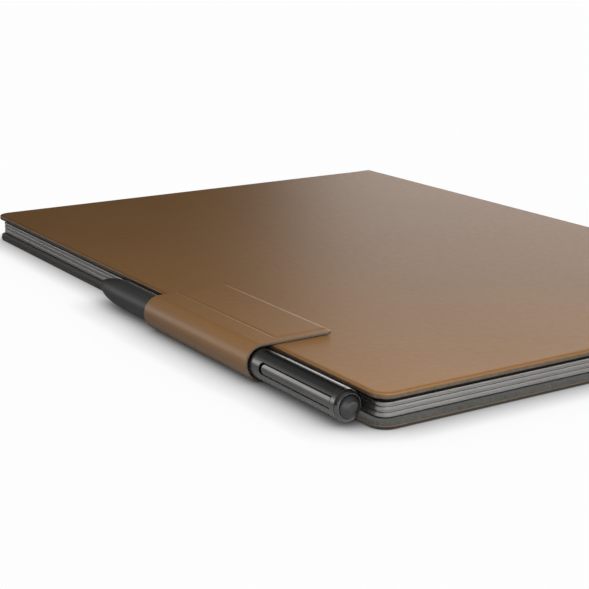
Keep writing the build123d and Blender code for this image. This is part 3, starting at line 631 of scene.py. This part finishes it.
def place_open(x, y, d=None):
    low = (y - YN) < (YF - y)
    dx, dy = x - XF, (y - YN) if low else (YF - y)
    r = 5.0
    on_seam = x >= SEAM_X - 1e-6
    if dx < r and dy < r:
        a, b = r - dx, r - dy
        m_, h = max(a, b), math.hypot(a, b)
        if d is not None:
            m_ = r - d
        a, b = a * m_ / h, b * m_ / h
        dx, dy, ins = r - a, r - b, r - m_
    else:
        if d is not None:
            if dx <= dy:
                dx = d
            else:
                if dy <= FC.gy[0] - YN + 1e-6:
                    dy = d
        ins = min(dx, dy)
    return XF + dx, (YN + dy if low else YF - dy), ins


FC.place = place_open
n_mid = int(round((SEAM_X - XF - 5.0) / 4.0))
FC.gx = [XF + l for l in LINES] + [XF + 5.0 + (SEAM_X - XF - 5.0) * i / n_mid for i in range(1, n_mid + 1)]
EDGE = [
    (0.30, z_top - 0.105, 0.0), (0.17, z_top - 0.185, 0.0), (0.07, z_top - 0.30, 0.0), (0.015, z_top - 0.44, 0.0),
    (0.0, z_top - 0.60, 0.0), (0.0, z_top - 0.85, 0.0), (0.0, z_top - 1.10, 0.0), (0.02, fc_a[2] + 0.30, 0.0),
    (0.08, fc_a[2] + 0.16, 0.0), (0.18, fc_a[2] + 0.06, 0.0), (0.30, fc_a[2] + 0.01, 0.0),
]


def edge_rings(rings, zt, zb):
    """Passes the rings on unchanged."""
    out = []
    for d, z, t in rings:
        out.append((d, z, t))
    return out


FC.build(cover_top, cover_bot, edge_rings(EDGE, z_top, fc_a[2]))
FC_V = np.array(FC.v)
pr = [0.8 * press_tone(i) * edge_free(v[0]) if s == 0.0 and v[2] > z_top - 0.46 else 0.0 for i, s, v in zip(FC.inset, FC.side, FC.v)]
ed = [min(1.0, max(0.0, (z_top - 0.30 - v[2]) / 0.20)) if (i < 0.44 and s == 0.0) else 0.0 for i, s, v in zip(FC.inset, FC.side, FC.v)]
cover = make("front_cover_skin", FC.v, FC.f, M_LEATHER, 50, attrs={"press": pr, "edge": ed})
fix_normals(cover)
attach(cover, "front_cover")
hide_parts("front_cover_leather")

# the leather turned in along the spine side of the cover
tx0, tx1, tz0, tz1 = fl_b[0] + 0.02, fc_b[0], fc_a[2], z_top - 0.72
sec = []
for cx_, cz_, a0_ in ((tx1 - 0.2, tz1 - 0.05, 0), (tx0 + 0.05, tz1 - 0.05, 90), (tx0 + 0.05, tz0 + 0.05, 180), (tx1 - 0.2, tz0 + 0.2, 270)):
    rr_ = min(tx1 - cx_, 0.2) if cx_ > (tx0 + tx1) / 2 else 0.05
    rz_ = 0.2 if (cz_ < (tz0 + tz1) / 2 and cx_ > (tx0 + tx1) / 2) else 0.05
    for k_ in range(5):
        a_ = math.radians(a0_ + 90 * k_ / 4)
        sec.append((cx_ + rr_ * math.cos(a_), cz_ + rz_ * math.sin(a_)))
rows_ = []
for y_, q_ in [(YN + 0.35, 0.75), (YN + 0.42, 0.92), (YN + 0.55, 1.0)] + [(YN + 0.55 + (YF - YN - 1.1) * k_ / 40, 1.0) for k_ in range(1, 40)] + [(YF - 0.55, 1.0), (YF - 0.42, 0.92), (YF - 0.35, 0.75)]:
    mx_, mz_ = (tx0 + tx1) / 2, (tz0 + tz1) / 2
    rows_.append([(mx_ + (a_ - mx_) * q_, y_, mz_ + (b_ - mz_) * q_) for a_, b_ in sec])
TV, TF = loft(rows_)
turn = make("front_cover_turn_in", TV, TF, M_LEATHER, 50, attrs={"press": [0.25] * len(TV)})
fix_normals(turn)
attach(turn, "front_cover")
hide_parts("front_cover_leather")

# front cover lining: soft sheet let into the leather's turn-in
FL = Plate(fl_a[0], fl_b[0], fl_a[1], fl_b[1], 3.4, 3.4, [0.3, 0.5, 0.8, 1.2, 1.8, 2.6, 3.4], 5.0, 0.3)
FL.build(
    lambda x, y, i: fl_b[2],
    lambda x, y, i: fl_a[2] + 0.05 * math.exp(-i / 0.8) + 0.012 * wob(x, y, 0, 9.0, 1.3),
    [(0.02, fl_b[2], 0.0), (0.0, fl_b[2] - 0.1, 0.0), (0.02, fl_a[2] + 0.18, 1.0), (0.12, fl_a[2] + 0.09, 1.0)],
)
lining = make("front_cover_felt", FL.v, FL.f, M_NAP, 50)
fix_normals(lining)
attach(lining, "front_cover")
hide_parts("front_cover_lining")

# ---------------------------------------------------------------------------
# back cover: thin leather below, thick felt above
# ---------------------------------------------------------------------------
BSEAM_X = bc_b[0] - 2.0
zb0, zb1 = bc_a[2], bc_b[2]


def open_plate(x0, seam, y0, y1, r, lines, step):
    P = Plate(x0, seam, y0, y1, r, 0.02, lines, step, lines[0])
    n_ = int(round((seam - x0 - lines[-1]) / step))
    P.gx = [x0 + l for l in lines] + [x0 + lines[-1] + (seam - x0 - lines[-1]) * i / n_ for i in range(1, n_ + 1)]

    def pl(x, y, d=None):
        low = (y - y0) < (y1 - y)
        dx, dy = x - x0, (y - y0) if low else (y1 - y)
        if dx < r and dy < r:
            a, b = r - dx, r - dy
            m_, h = max(a, b), math.hypot(a, b)
            if d is not None:
                m_ = r - d
            a, b = a * m_ / h, b * m_ / h
            dx, dy, ins = r - a, r - b, r - m_
        else:
            if d is not None:
                if dx <= dy:
                    dx = d
                elif dy <= lines[0] + 1e-6:
                    dy = d
            ins = min(dx, dy)
        return x0 + dx, (y0 + dy if low else y1 - dy), ins

    P.place = pl
    return P


BC = open_plate(bc_a[0], BSEAM_X, bc_a[1], bc_b[1], 5.0, [0.4, 0.6, 0.8, 1.0, 1.15, 1.3, 1.45, 1.6, 1.8, 2.2, 2.8, 3.4, 4.0, 4.5, 5.0], 6.0)


def back_bottom(px, py, ins):
    f = min(1.0, max(0.0, (BSEAM_X - px) / 4.0))
    return zb0 + 0.05 * math.exp(-max(0.0, ins - 0.4) / 0.3) * f + 0.06 * press(ins) * f + (0.012 + 0.012 * wob(px, py, 0, 38.0, 9.4)) * min(1.0, ins / 5.0) * f


BC.build(
    lambda x, y, i: zb1,
    back_bottom,
    [(0.12, zb1, 0.0), (0.03, zb1 - 0.06, 0.0), (0.0, zb1 - 0.18, 0.0), (0.02, zb1 - 0.36, 0.0), (0.09, zb1 - 0.50, 0.0), (0.18, zb0 + 0.45, 0.0), (0.26, zb0 + 0.32, 0.0), (0.33, zb0 + 0.20, 1.0)],
)
ed = [1.0 if i < 0.39 else 0.0 for i in BC.inset]
# painted shade: the lower part of the back leather's edge and its underside near the edge go near black, standing in
# for the contact shadow against the floor
painted_contact_shade = [min(1.0, max(0.0, (zb1 - 0.22 - v[2]) / 0.14)) if i < 0.39 else (0.9 * math.exp(-(i - 0.39) / 0.3) if s == 1.0 else 0.0) for i, s, v in zip(BC.inset, BC.side, BC.v)]
pr = [press(i) if s == 1.0 and i > 0.3 else 0.0 for i, s in zip(BC.inset, BC.side)]
back = make("back_cover_skin", BC.v, BC.f, M_LEATHER, 50, attrs={"press": pr, "edge": ed, "shade": painted_contact_shade})
fix_normals(back)
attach(back, "base")
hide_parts("back_cover_leather")

FE = Plate(bl_a[0], bl_b[0], bl_a[1], bl_b[1], 4.85, 0.4, [0.3, 0.4, 0.55, 0.8, 1.2, 1.8, 2.4, 3.0, 3.6, 4.2, 4.85], 1.6, 0.3)


def fuzz(amount, seed):
    return lambda px, py: amount * wob(px, py, seed, 0.9, seed)


def felt_ring(d, z, seed):
    def zf(px, py):
        return z + 0.03 * wob(px, py, seed, 0.8, seed)
    return (d, zf, 0.0)


FE.build(
    lambda x, y, i: bl_b[2] - 0.02 - 0.05 * math.exp(-max(0, i - 0.3) / 0.3) + 0.02 * wob(x, y, 0, 1.7, 5.0),
    lambda x, y, i: bl_a[2],
    [
        felt_ring(0.18, bl_b[2] - 0.13, 1.0), felt_ring(0.08, bl_b[2] - 0.25, 2.0), felt_ring(0.03, bl_b[2] - 0.42, 3.0),
        felt_ring(0.05, bl_b[2] - 0.65, 4.0), felt_ring(0.02, bl_b[2] - 0.85, 5.0), (0.04, bl_a[2] + 0.15, 0.0), (0.12, bl_a[2] + 0.02, 0.0),
    ],
)
FV = []
for (x, y, z), ins in zip(FE.v, FE.inset):
    if ins < 0.3 and z > bl_a[2] + 0.05 and z < bl_b[2] - 0.1:
        # the nap stands a little proud in places
        cx, cy = (bl_a[0] + bl_b[0]) / 2, 0.0
        k = 0.045 * (wob(x, y, z * 2.0, 0.7, 7.7) - 0.2)
        x += k * (1 if x > cx + 60 else -1 if x < cx - 60 else 0)
        y += k * (1 if y > 110 else -1 if y < -110 else 0)
    FV.append((x, y, z))
feltp = make("back_cover_felt", FV, FE.f, M_FELT, 60)
fix_normals(feltp)
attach(feltp, "base")
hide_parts("back_cover_lining")

# ---------------------------------------------------------------------------
# spine: two wraps that meet at half height, each bending across one fold
# ---------------------------------------------------------------------------
CX = XS - (sp_b[2] - sp_a[2]) * 0.0 - 0.8
Z0F, Z1F = sp_a[2] + 0.8, sp_b[2] - 0.8
ZM = (Z0F + Z1F) / 2
SY0, SY1 = sp_a[1], sp_b[1]


def wrap(name, pts_out, pts_in, ys, y_edge, mat_, press_at=None):
    """A strip with this outer and inner line (lists of x, z), run along ys with softened ends."""
    ring = list(pts_out) + list(pts_in)[::-1]
    ns = len(pts_out)
    rows = []
    for k, y in enumerate(ys):
        t = min(y - ys[0], ys[-1] - y)
        sq = 1.0 if t > y_edge else 0.55 + 0.45 * math.sqrt(max(0.0, 1 - (1 - t / y_edge) ** 2))
        row = []
        for i, (o, n_) in enumerate(zip(pts_out, pts_in)):
            mx, mz = (o[0] + n_[0]) / 2, (o[1] + n_[1]) / 2
            row.append((mx + (o[0] - mx) * sq, y, mz + (o[1] - mz) * sq))
        for i in range(ns - 1, -1, -1):
            o, n_ = pts_out[i], pts_in[i]
            mx, mz = (o[0] + n_[0]) / 2, (o[1] + n_[1]) / 2
            row.append((mx + (n_[0] - mx) * sq, y, mz + (n_[1] - mz) * sq))
        rows.append(row)
    V, F = loft(rows)
    ob = make(name, V, F, mat_, 50, attrs={"press": [0.0] * len(V)})
    fix_normals(ob)
    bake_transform(ob)
    return ob


def ylist(y0, y1, edge, step):
    e = [0.0, 0.03, 0.08, 0.15, 0.25, edge]
    n_ = int((y1 - y0 - 2 * edge) / step)
    return [y0 + t for t in e] + [y0 + edge + (y1 - y0 - 2 * edge) * i / n_ for i in range(1, n_)] + [y1 - t for t in reversed(e)]


T = 0.7
up_out, up_in = [], []
for i in range(7):
    x = SEAM_X + (CX - SEAM_X) * i / 7
    up_out.append((x, z_top - 0.10 * (i / 7) * 0))
    up_in.append((x, z_top - T))
for i in range(0, 15):
    a = math.radians(90 - 90 * i / 14)
    up_out.append((CX + 0.8 * math.cos(a), Z1F + 0.8 * math.sin(a)))
    up_in.append((CX + 0.1 * math.cos(a), Z1F + 0.1 * math.sin(a)))
for i in range(1, 8):
    z = Z1F + (ZM - Z1F) * i / 7
    up_out.append((XS, z))
    up_in.append((XS - T, z))
ysp = ylist(YN + 0.02, YF - 0.02, 0.4, 5.0)
w_up = wrap("spine_wrap_upper", up_out, up_in, ysp, 0.4, M_LEATHER)
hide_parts("spine_leather")

lo_out, lo_in = [], []
for i in range(7):
    x = BSEAM_X + (CX - BSEAM_X) * i / 7
    lo_out.append((x, 0.0))
    lo_in.append((x, T))
for i in range(0, 15):
    a = math.radians(-90 + 90 * i / 14)
    lo_out.append((CX + 0.8 * math.cos(a), Z0F + 0.8 * math.sin(a)))
    lo_in.append((CX + 0.1 * math.cos(a), Z0F + 0.1 * math.sin(a)))
for i in range(1, 8):
    z = Z0F + (ZM - Z0F) * i / 7
    lo_out.append((XS, z))
    lo_in.append((XS - T, z))
w_lo = wrap("spine_wrap_lower", lo_out, lo_in, ysp, 0.4, M_LEATHER)
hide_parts("spine_leather")

# ---------------------------------------------------------------------------
# closure flap: leather with a soft lining, round the pen and over the cover
# ---------------------------------------------------------------------------
RL = (R_OUT + R_MID) / 2
HL = (R_OUT - R_MID) / 2
RN = (R_MID + R_IN) / 2
HN = (R_MID - R_IN) / 2
SEAM_A = 208.0


def path_a(r):
    """Centre line from the fore edge under the pen to the seam, with normals away from the pen."""
    x_end = lb_b[0]
    p = []
    n_ = 5
    for i in range(n_):
        p.append((x_end + (PX - x_end) * i / n_, PZ - r, 0.0, -1.0))
    k = int((270 - SEAM_A) / 2)
    for i in range(k + 1):
        a = 270 - (270 - SEAM_A) * i / k
        c, s = math.cos(math.radians(a)), math.sin(math.radians(a))
        p.append((PX + r * c, PZ + r * s, c, s))
    return p


def path_b(r, x1, dense):
    p = []
    k = int((SEAM_A - 90) / 2)
    for i in range(k + 1):
        a = SEAM_A - (SEAM_A - 90) * i / k
        c, s = math.cos(math.radians(a)), math.sin(math.radians(a))
        p.append((PX + r * c, PZ + r * s, c, s))
    for x in dense:
        if x > PX + 0.2 and x <= x1:
            p.append((x, PZ + r, 0.0, 1.0))
    return p


def flap(name, path, half, mats, y0, y1, groove, round_end, edge_r, seam_start, seam_end):
    """A strip along the path: grid over (path, y) outside and inside, joined round all edges."""
    # stations across the width, close together where the edge turns over and where the line is pressed
    e = [0.0, 0.03, 0.07, 0.13, 0.45, 0.9, 1.4, 2.0, 2.4, 2.7, 2.95, 3.15, 3.35, 3.5, 3.65, 3.85, 4.05, 4.3, 4.8, 5.6]
    n_ = 26
    ys = [y0 + t for t in e] + [y0 + 5.6 + (y1 - y0 - 11.2) * i / n_ for i in range(1, n_)] + [y1 - t for t in reversed(e)]
    xe = path[-1][0]
    rr = 2.0 if round_end else 0.0
    outer, inner = [], []
    V, F, mi, pr_, ed_ = [], [], [], [], []
    ny = len(ys)

    def fold(t):
        return 0.0 if t >= edge_r else edge_r - math.sqrt(max(0.0, edge_r ** 2 - (edge_r - t) ** 2))

    for sgn, store in ((1, outer), (-1, inner)):
        for q, (x, z, nx_, nz_) in enumerate(path):
            row = []
            for y in ys:
                px, py = x, y
                dy = min(y - y0, y1 - y)
                dxe = (xe - x) if round_end else 99.0
                ins = dy
                if round_end:
                    if dxe < rr and dy < rr:
                        a, b = rr - dxe, rr - dy
                        m_, h = max(a, b), math.hypot(a, b)
                        a, b = a * m_ / h, b * m_ / h
                        px = xe - rr + a
                        py = (y0 + rr - b) if (y - y0) < (y1 - y) else (y1 - rr + b)
                        ins = rr - m_
                    else:
                        ins = min(dxe, dy)
                off = half - fold(ins) if ins < edge_r else half
                g, gp = (groove(px, py, nz_) if (groove and sgn > 0) else (0.0, 0.0))
                off -= g
                row.append(len(V))
                V.append((px + sgn * nx_ * off, py, z + sgn * nz_ * off))
                pr_.append(gp)
                ed_.append(min(1.0, max(0.0, 1.25 - ins / edge_r)))
            store.append(row)
        for i in range(len(path) - 1):
            for j in range(ny - 1):
                F.append([store[i][j], store[i][j + 1], store[i + 1][j + 1], store[i + 1][j]])
                mi.append(0)
    # edges
    for j in range(ny - 1):
        F.append([outer[0][j], outer[0][j + 1], inner[0][j + 1], inner[0][j]])
        mi.append(0)
        F.append([outer[-1][j], outer[-1][j + 1], inner[-1][j + 1], inner[-1][j]])
        mi.append(1)
    for i in range(len(path) - 1):
        for j in (0, ny - 1):
            F.append([outer[i][j], outer[i + 1][j], inner[i + 1][j], inner[i][j]])
            mi.append(1)
    ob = make(name, V, F, mats, 50, mats=mi, attrs={"press": pr_, "edge": ed_})
    fix_normals(ob)
    return ob


GX = XF + 2.3
GY = 3.5


def flap_groove(x, y, nz_):
    """Pressed line: along the fold, round a soft corner, then parallel to the near cut end."""
    if nz_ < 0.98:
        return 0.0, 0.0
    dy = y - FY0
    r = 1.6
    # distance to the rounded L that runs x = GX and dy = GY
    ax, ay = GX + r, GY + r
    if x < ax and dy < ay:
        d = abs(math.hypot(x - ax, dy - ay) - r)
    elif x < ax:
        d = abs(x - GX)
    elif dy < ay:
        d = abs(dy - GY)
    else:
        d = min(abs(x - GX), abs(dy - GY))
    t_ = max(0.0, 1.0 - (ta_b[0] - x) / 1.2)
    roll = 0.10 * t_ * t_
    k = math.exp(-((d / 0.42) ** 2))
    inside = 1.0 / (1.0 + math.exp(-min(x - GX, dy - GY) / 0.35))
    return 0.09 * k - 0.03 * inside + 0.03 + roll, 0.30 * k


dense_x = [PX + 0.6 * i for i in range(1, 7)]
dense_x += [GX - 1.6, GX - 1.2, GX - 0.9, GX - 0.65, GX - 0.45, GX - 0.25, GX - 0.1, GX + 0.1, GX + 0.25, GX + 0.45, GX + 0.65, GX + 0.9, GX + 1.2, GX + 1.6, GX + 2.2, GX + 3.0]
x_tab = ta_b[0]
dense_x += [GX + 3.0 + (x_tab - 2.0 - GX - 3.0) * i / 10 for i in range(1, 11)]
dense_x += [x_tab - t for t in (1.6, 1.2, 1.0, 0.8, 0.6, 0.45, 0.3, 0.2, 0.13, 0.07, 0.03, 0.0)]
dense_x = sorted(set(round(x, 4) for x in dense_x if x > PX + 0.3))

fa = flap("flap_leather_lower", path_a(RL), HL, [M_LOOP, M_CUT], FY0, FY1, None, False, 0.13, False, True)
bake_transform(fa)
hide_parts("loop_base_leather")
fb = flap("flap_leather_upper", path_b(RL, x_tab, dense_x), HL, [M_LOOP, M_CUT], FY0, FY1, flap_groove, True, 0.13, True, False)
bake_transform(fb)
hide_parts("loop_leather", "tab_leather")

na = flap("flap_lining_lower", path_a(RN), HN, [M_LOOPLIN, M_LOOPLIN], FY0 + 0.4, FY1 - 0.4, None, False, 0.08, False, True)
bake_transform(na)
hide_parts("loop_base_lining")
xl = tl_b[0]
dense_l = [x for x in dense_x if x < xl - 2.2] + [xl - t for t in (1.9, 1.5, 1.0, 0.6, 0.3, 0.1, 0.0)]
nb = flap("flap_lining_upper", path_b(RN, xl, dense_l), HN, [M_LOOPLIN, M_LOOPLIN], FY0 + 0.4, FY1 - 0.4, None, True, 0.08, True, False)
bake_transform(nb)
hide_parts("loop_lining", "tab_lining")

# ---------------------------------------------------------------------------
# stage, light and camera
# ---------------------------------------------------------------------------
def area(name, loc, target, size, power, color=(1, 1, 1), size_y=None):
    li = bpy.data.lights.new(name, "AREA")
    li.energy = power
    li.color = color
    li.shape = "RECTANGLE" if size_y else "SQUARE"
    li.size = size
    if size_y:
        li.size_y = size_y
    ob = bpy.data.objects.new(name, li)
    ob.location = loc
    d = Vector(target) - Vector(loc)
    ob.rotation_euler = d.to_track_quat("-Z", "Y").to_euler()
    bpy.context.scene.collection.objects.link(ob)
    ob.visible_camera = False
    return ob


me = bpy.data.meshes.new("floor")
S = 8.0
me.from_pydata([(-S, -S, -3e-5), (S, -S, -3e-5), (S, S, -3e-5), (-S, S, -3e-5)], [], [[0, 1, 2, 3]])
floor = bpy.data.objects.new("floor", me)
bpy.context.scene.collection.objects.link(floor)
# painted shadow: for camera rays the floor glows white, dimmed near the object by two ambient-occlusion terms that
# stand in for its contact shadow; other rays see a plain grey diffuse floor
fm = bpy.data.materials.new("floor_pale")
fm.use_nodes = True
ft = fm.node_tree
ft.nodes.clear()
fo = ft.nodes.new("ShaderNodeOutputMaterial")
mxf = ft.nodes.new("ShaderNodeMixShader")
dif = ft.nodes.new("ShaderNodeBsdfDiffuse")
dif.inputs["Color"].default_value = (0.37, 0.37, 0.37, 1)
emi = ft.nodes.new("ShaderNodeEmission")
lp = ft.nodes.new("ShaderNodeLightPath")
ao = ft.nodes.new("ShaderNodeAmbientOcclusion")
ao.samples = 12
ao.inputs["Distance"].default_value = 0.012
pw = ft.nodes.new("ShaderNodeMath")
pw.operation = "POWER"
pw.inputs[1].default_value = 1.05
ft.links.new(ao.outputs["AO"], pw.inputs[0])
ml = ft.nodes.new("ShaderNodeMath")
ml.operation = "MULTIPLY"
ml.inputs[1].default_value = 0.985
ao2 = ft.nodes.new("ShaderNodeAmbientOcclusion")
ao2.samples = 12
ao2.inputs["Distance"].default_value = 0.050
pw2 = ft.nodes.new("ShaderNodeMath")
pw2.operation = "POWER"
pw2.inputs[1].default_value = 0.22
ft.links.new(ao2.outputs["AO"], pw2.inputs[0])
both = ft.nodes.new("ShaderNodeMath")
both.operation = "MULTIPLY"
ft.links.new(pw.outputs[0], both.inputs[0])
ft.links.new(pw2.outputs[0], both.inputs[1])
ft.links.new(both.outputs[0], ml.inputs[0])
ft.links.new(ml.outputs[0], emi.inputs["Strength"])
ft.links.new(lp.outputs["Is Camera Ray"], mxf.inputs[0])
ft.links.new(dif.outputs[0], mxf.inputs[1])
ft.links.new(emi.outputs[0], mxf.inputs[2])
ft.links.new(mxf.outputs[0], fo.inputs[0])
me.materials.append(fm)

PANEL_AZ, PANEL_B, WORLD_LOW, WORLD_HIGH = 57.5, 2.70, 0.0, 0.03
world = bpy.data.worlds.new("studio")
bpy.context.scene.world = world
world.use_nodes = True
wt = world.node_tree
wt.nodes.clear()
wo = wt.nodes.new("ShaderNodeOutputWorld")
mixw = wt.nodes.new("ShaderNodeMixShader")
bgc = wt.nodes.new("ShaderNodeBackground")
bgc.inputs["Color"].default_value = (1, 1, 1, 1)
bgc.inputs["Strength"].default_value = 1.05
bgc.inputs["Strength"].default_value = 0.985
bgr = wt.nodes.new("ShaderNodeBackground")
wlp = wt.nodes.new("ShaderNodeLightPath")
tc = wt.nodes.new("ShaderNodeTexCoord")
sx = wt.nodes.new("ShaderNodeSeparateXYZ")
wt.links.new(tc.outputs["Generated"], sx.inputs[0])


def wmath(op, a, b=None, clamp=False):
    x = wt.nodes.new("ShaderNodeMath")
    x.operation = op
    x.use_clamp = clamp
    for i, v in enumerate([a, b]):
        if v is None:
            continue
        if isinstance(v, (int, float)):
            x.inputs[i].default_value = v
        else:
            wt.links.new(v, x.inputs[i])
    return x.outputs[0]


def wspan(src, a, b, lo=0.0, hi=1.0):
    x = wt.nodes.new("ShaderNodeMapRange")
    x.interpolation_type = "SMOOTHSTEP"
    for k, v in (("From Min", a), ("From Max", b), ("To Min", lo), ("To Max", hi)):
        x.inputs[k].default_value = v
    wt.links.new(src, x.inputs["Value"])
    return x.outputs["Result"]


# a broad white sweep on the right, dark studio above and on the left
A0 = math.radians(PANEL_AZ)
side = wmath("ADD", wmath("MULTIPLY", sx.outputs[0], math.sin(A0)), wmath("MULTIPLY", sx.outputs[1], -math.cos(A0)))
right = wspan(side, -0.035, 0.050)
low = wspan(sx.outputs[2], 0.03, 0.38, 1.0, 0.0)
glow = wmath("MULTIPLY", wmath("MULTIPLY", right, low), PANEL_B)
base_w = wspan(sx.outputs[2], 0.30, 0.55, WORLD_LOW, WORLD_HIGH)


def blob(az, el, inner, outer, strength):
    """Soft round light in the surroundings, seen by reflections."""
    a, e = math.radians(az), math.radians(el)
    v = (math.cos(e) * math.cos(a), math.cos(e) * math.sin(a), math.sin(e))
    d = wmath("ADD", wmath("ADD", wmath("MULTIPLY", sx.outputs[0], v[0]), wmath("MULTIPLY", sx.outputs[1], v[1])), wmath("MULTIPLY", sx.outputs[2], v[2]))
    return wspan(d, math.cos(math.radians(outer)), math.cos(math.radians(inner)), 0.0, strength)


extra = wmath("ADD", blob(126.0, 11.0, 4.0, 13.0, 1.45), blob(126.0, 16.0, 6.0, 27.0, 0.35))
extra = wmath("ADD", extra, blob(112.0, 5.0, 4.0, 14.0, 1.0))
extra = wmath("ADD", extra, blob(140.0, 40.0, 30.0, 66.0, 0.15))
extra = wmath("ADD", extra, blob(-90.0, 35.0, 20.0, 58.0, 0.30))
extra = wmath("ADD", extra, blob(-127.0, 5.0, 6.0, 30.0, 0.55))
wt.links.new(wmath("ADD", wmath("ADD", glow, base_w), extra), bgr.inputs["Strength"])
bgr.inputs["Color"].default_value = (1, 1, 1, 1)
wt.links.new(wlp.outputs["Is Camera Ray"], mixw.inputs[0])
wt.links.new(bgr.outputs[0], mixw.inputs[1])
wt.links.new(bgc.outputs[0], mixw.inputs[2])
wt.links.new(mixw.outputs[0], wo.inputs[0])

# main soft light above the near right side, and a broad one from the left
ky = area("key", (-0.15, -0.35, 0.20), (-0.03, -0.02, 0.0), 0.16, 2.10)
rb = area("right_back", (0.25, 0.10, 0.12), (-0.03, -0.02, 0.0), 0.12, 0.38)
# these two light the leather evenly; what the metal mirrors is set by the surroundings above
for o_ in (ky, rb):
    o_.visible_glossy = False

cam = bpy.data.cameras.new("camera")
cam.lens = 88.28
cam.sensor_width = 36.0
cam.clip_start = 0.01
cam.clip_end = 40.0
co_ = bpy.data.objects.new("camera", cam)
yaw, pit, rol = math.radians(57.489), math.radians(15.185), math.radians(-0.038)
fwd = Vector((math.cos(yaw) * math.cos(pit), math.sin(yaw) * math.cos(pit), -math.sin(pit)))
co_.location = (-0.28047, -0.39636, 0.12570)
co_.rotation_mode = "QUATERNION"
co_.rotation_quaternion = fwd.to_track_quat("-Z", "Y")
bpy.context.scene.collection.objects.link(co_)
bpy.context.scene.camera = co_

bpy.context.scene.view_settings.view_transform = "Standard"
bpy.context.scene.view_settings.look = "None"
bpy.context.scene.view_settings.exposure = 0.0
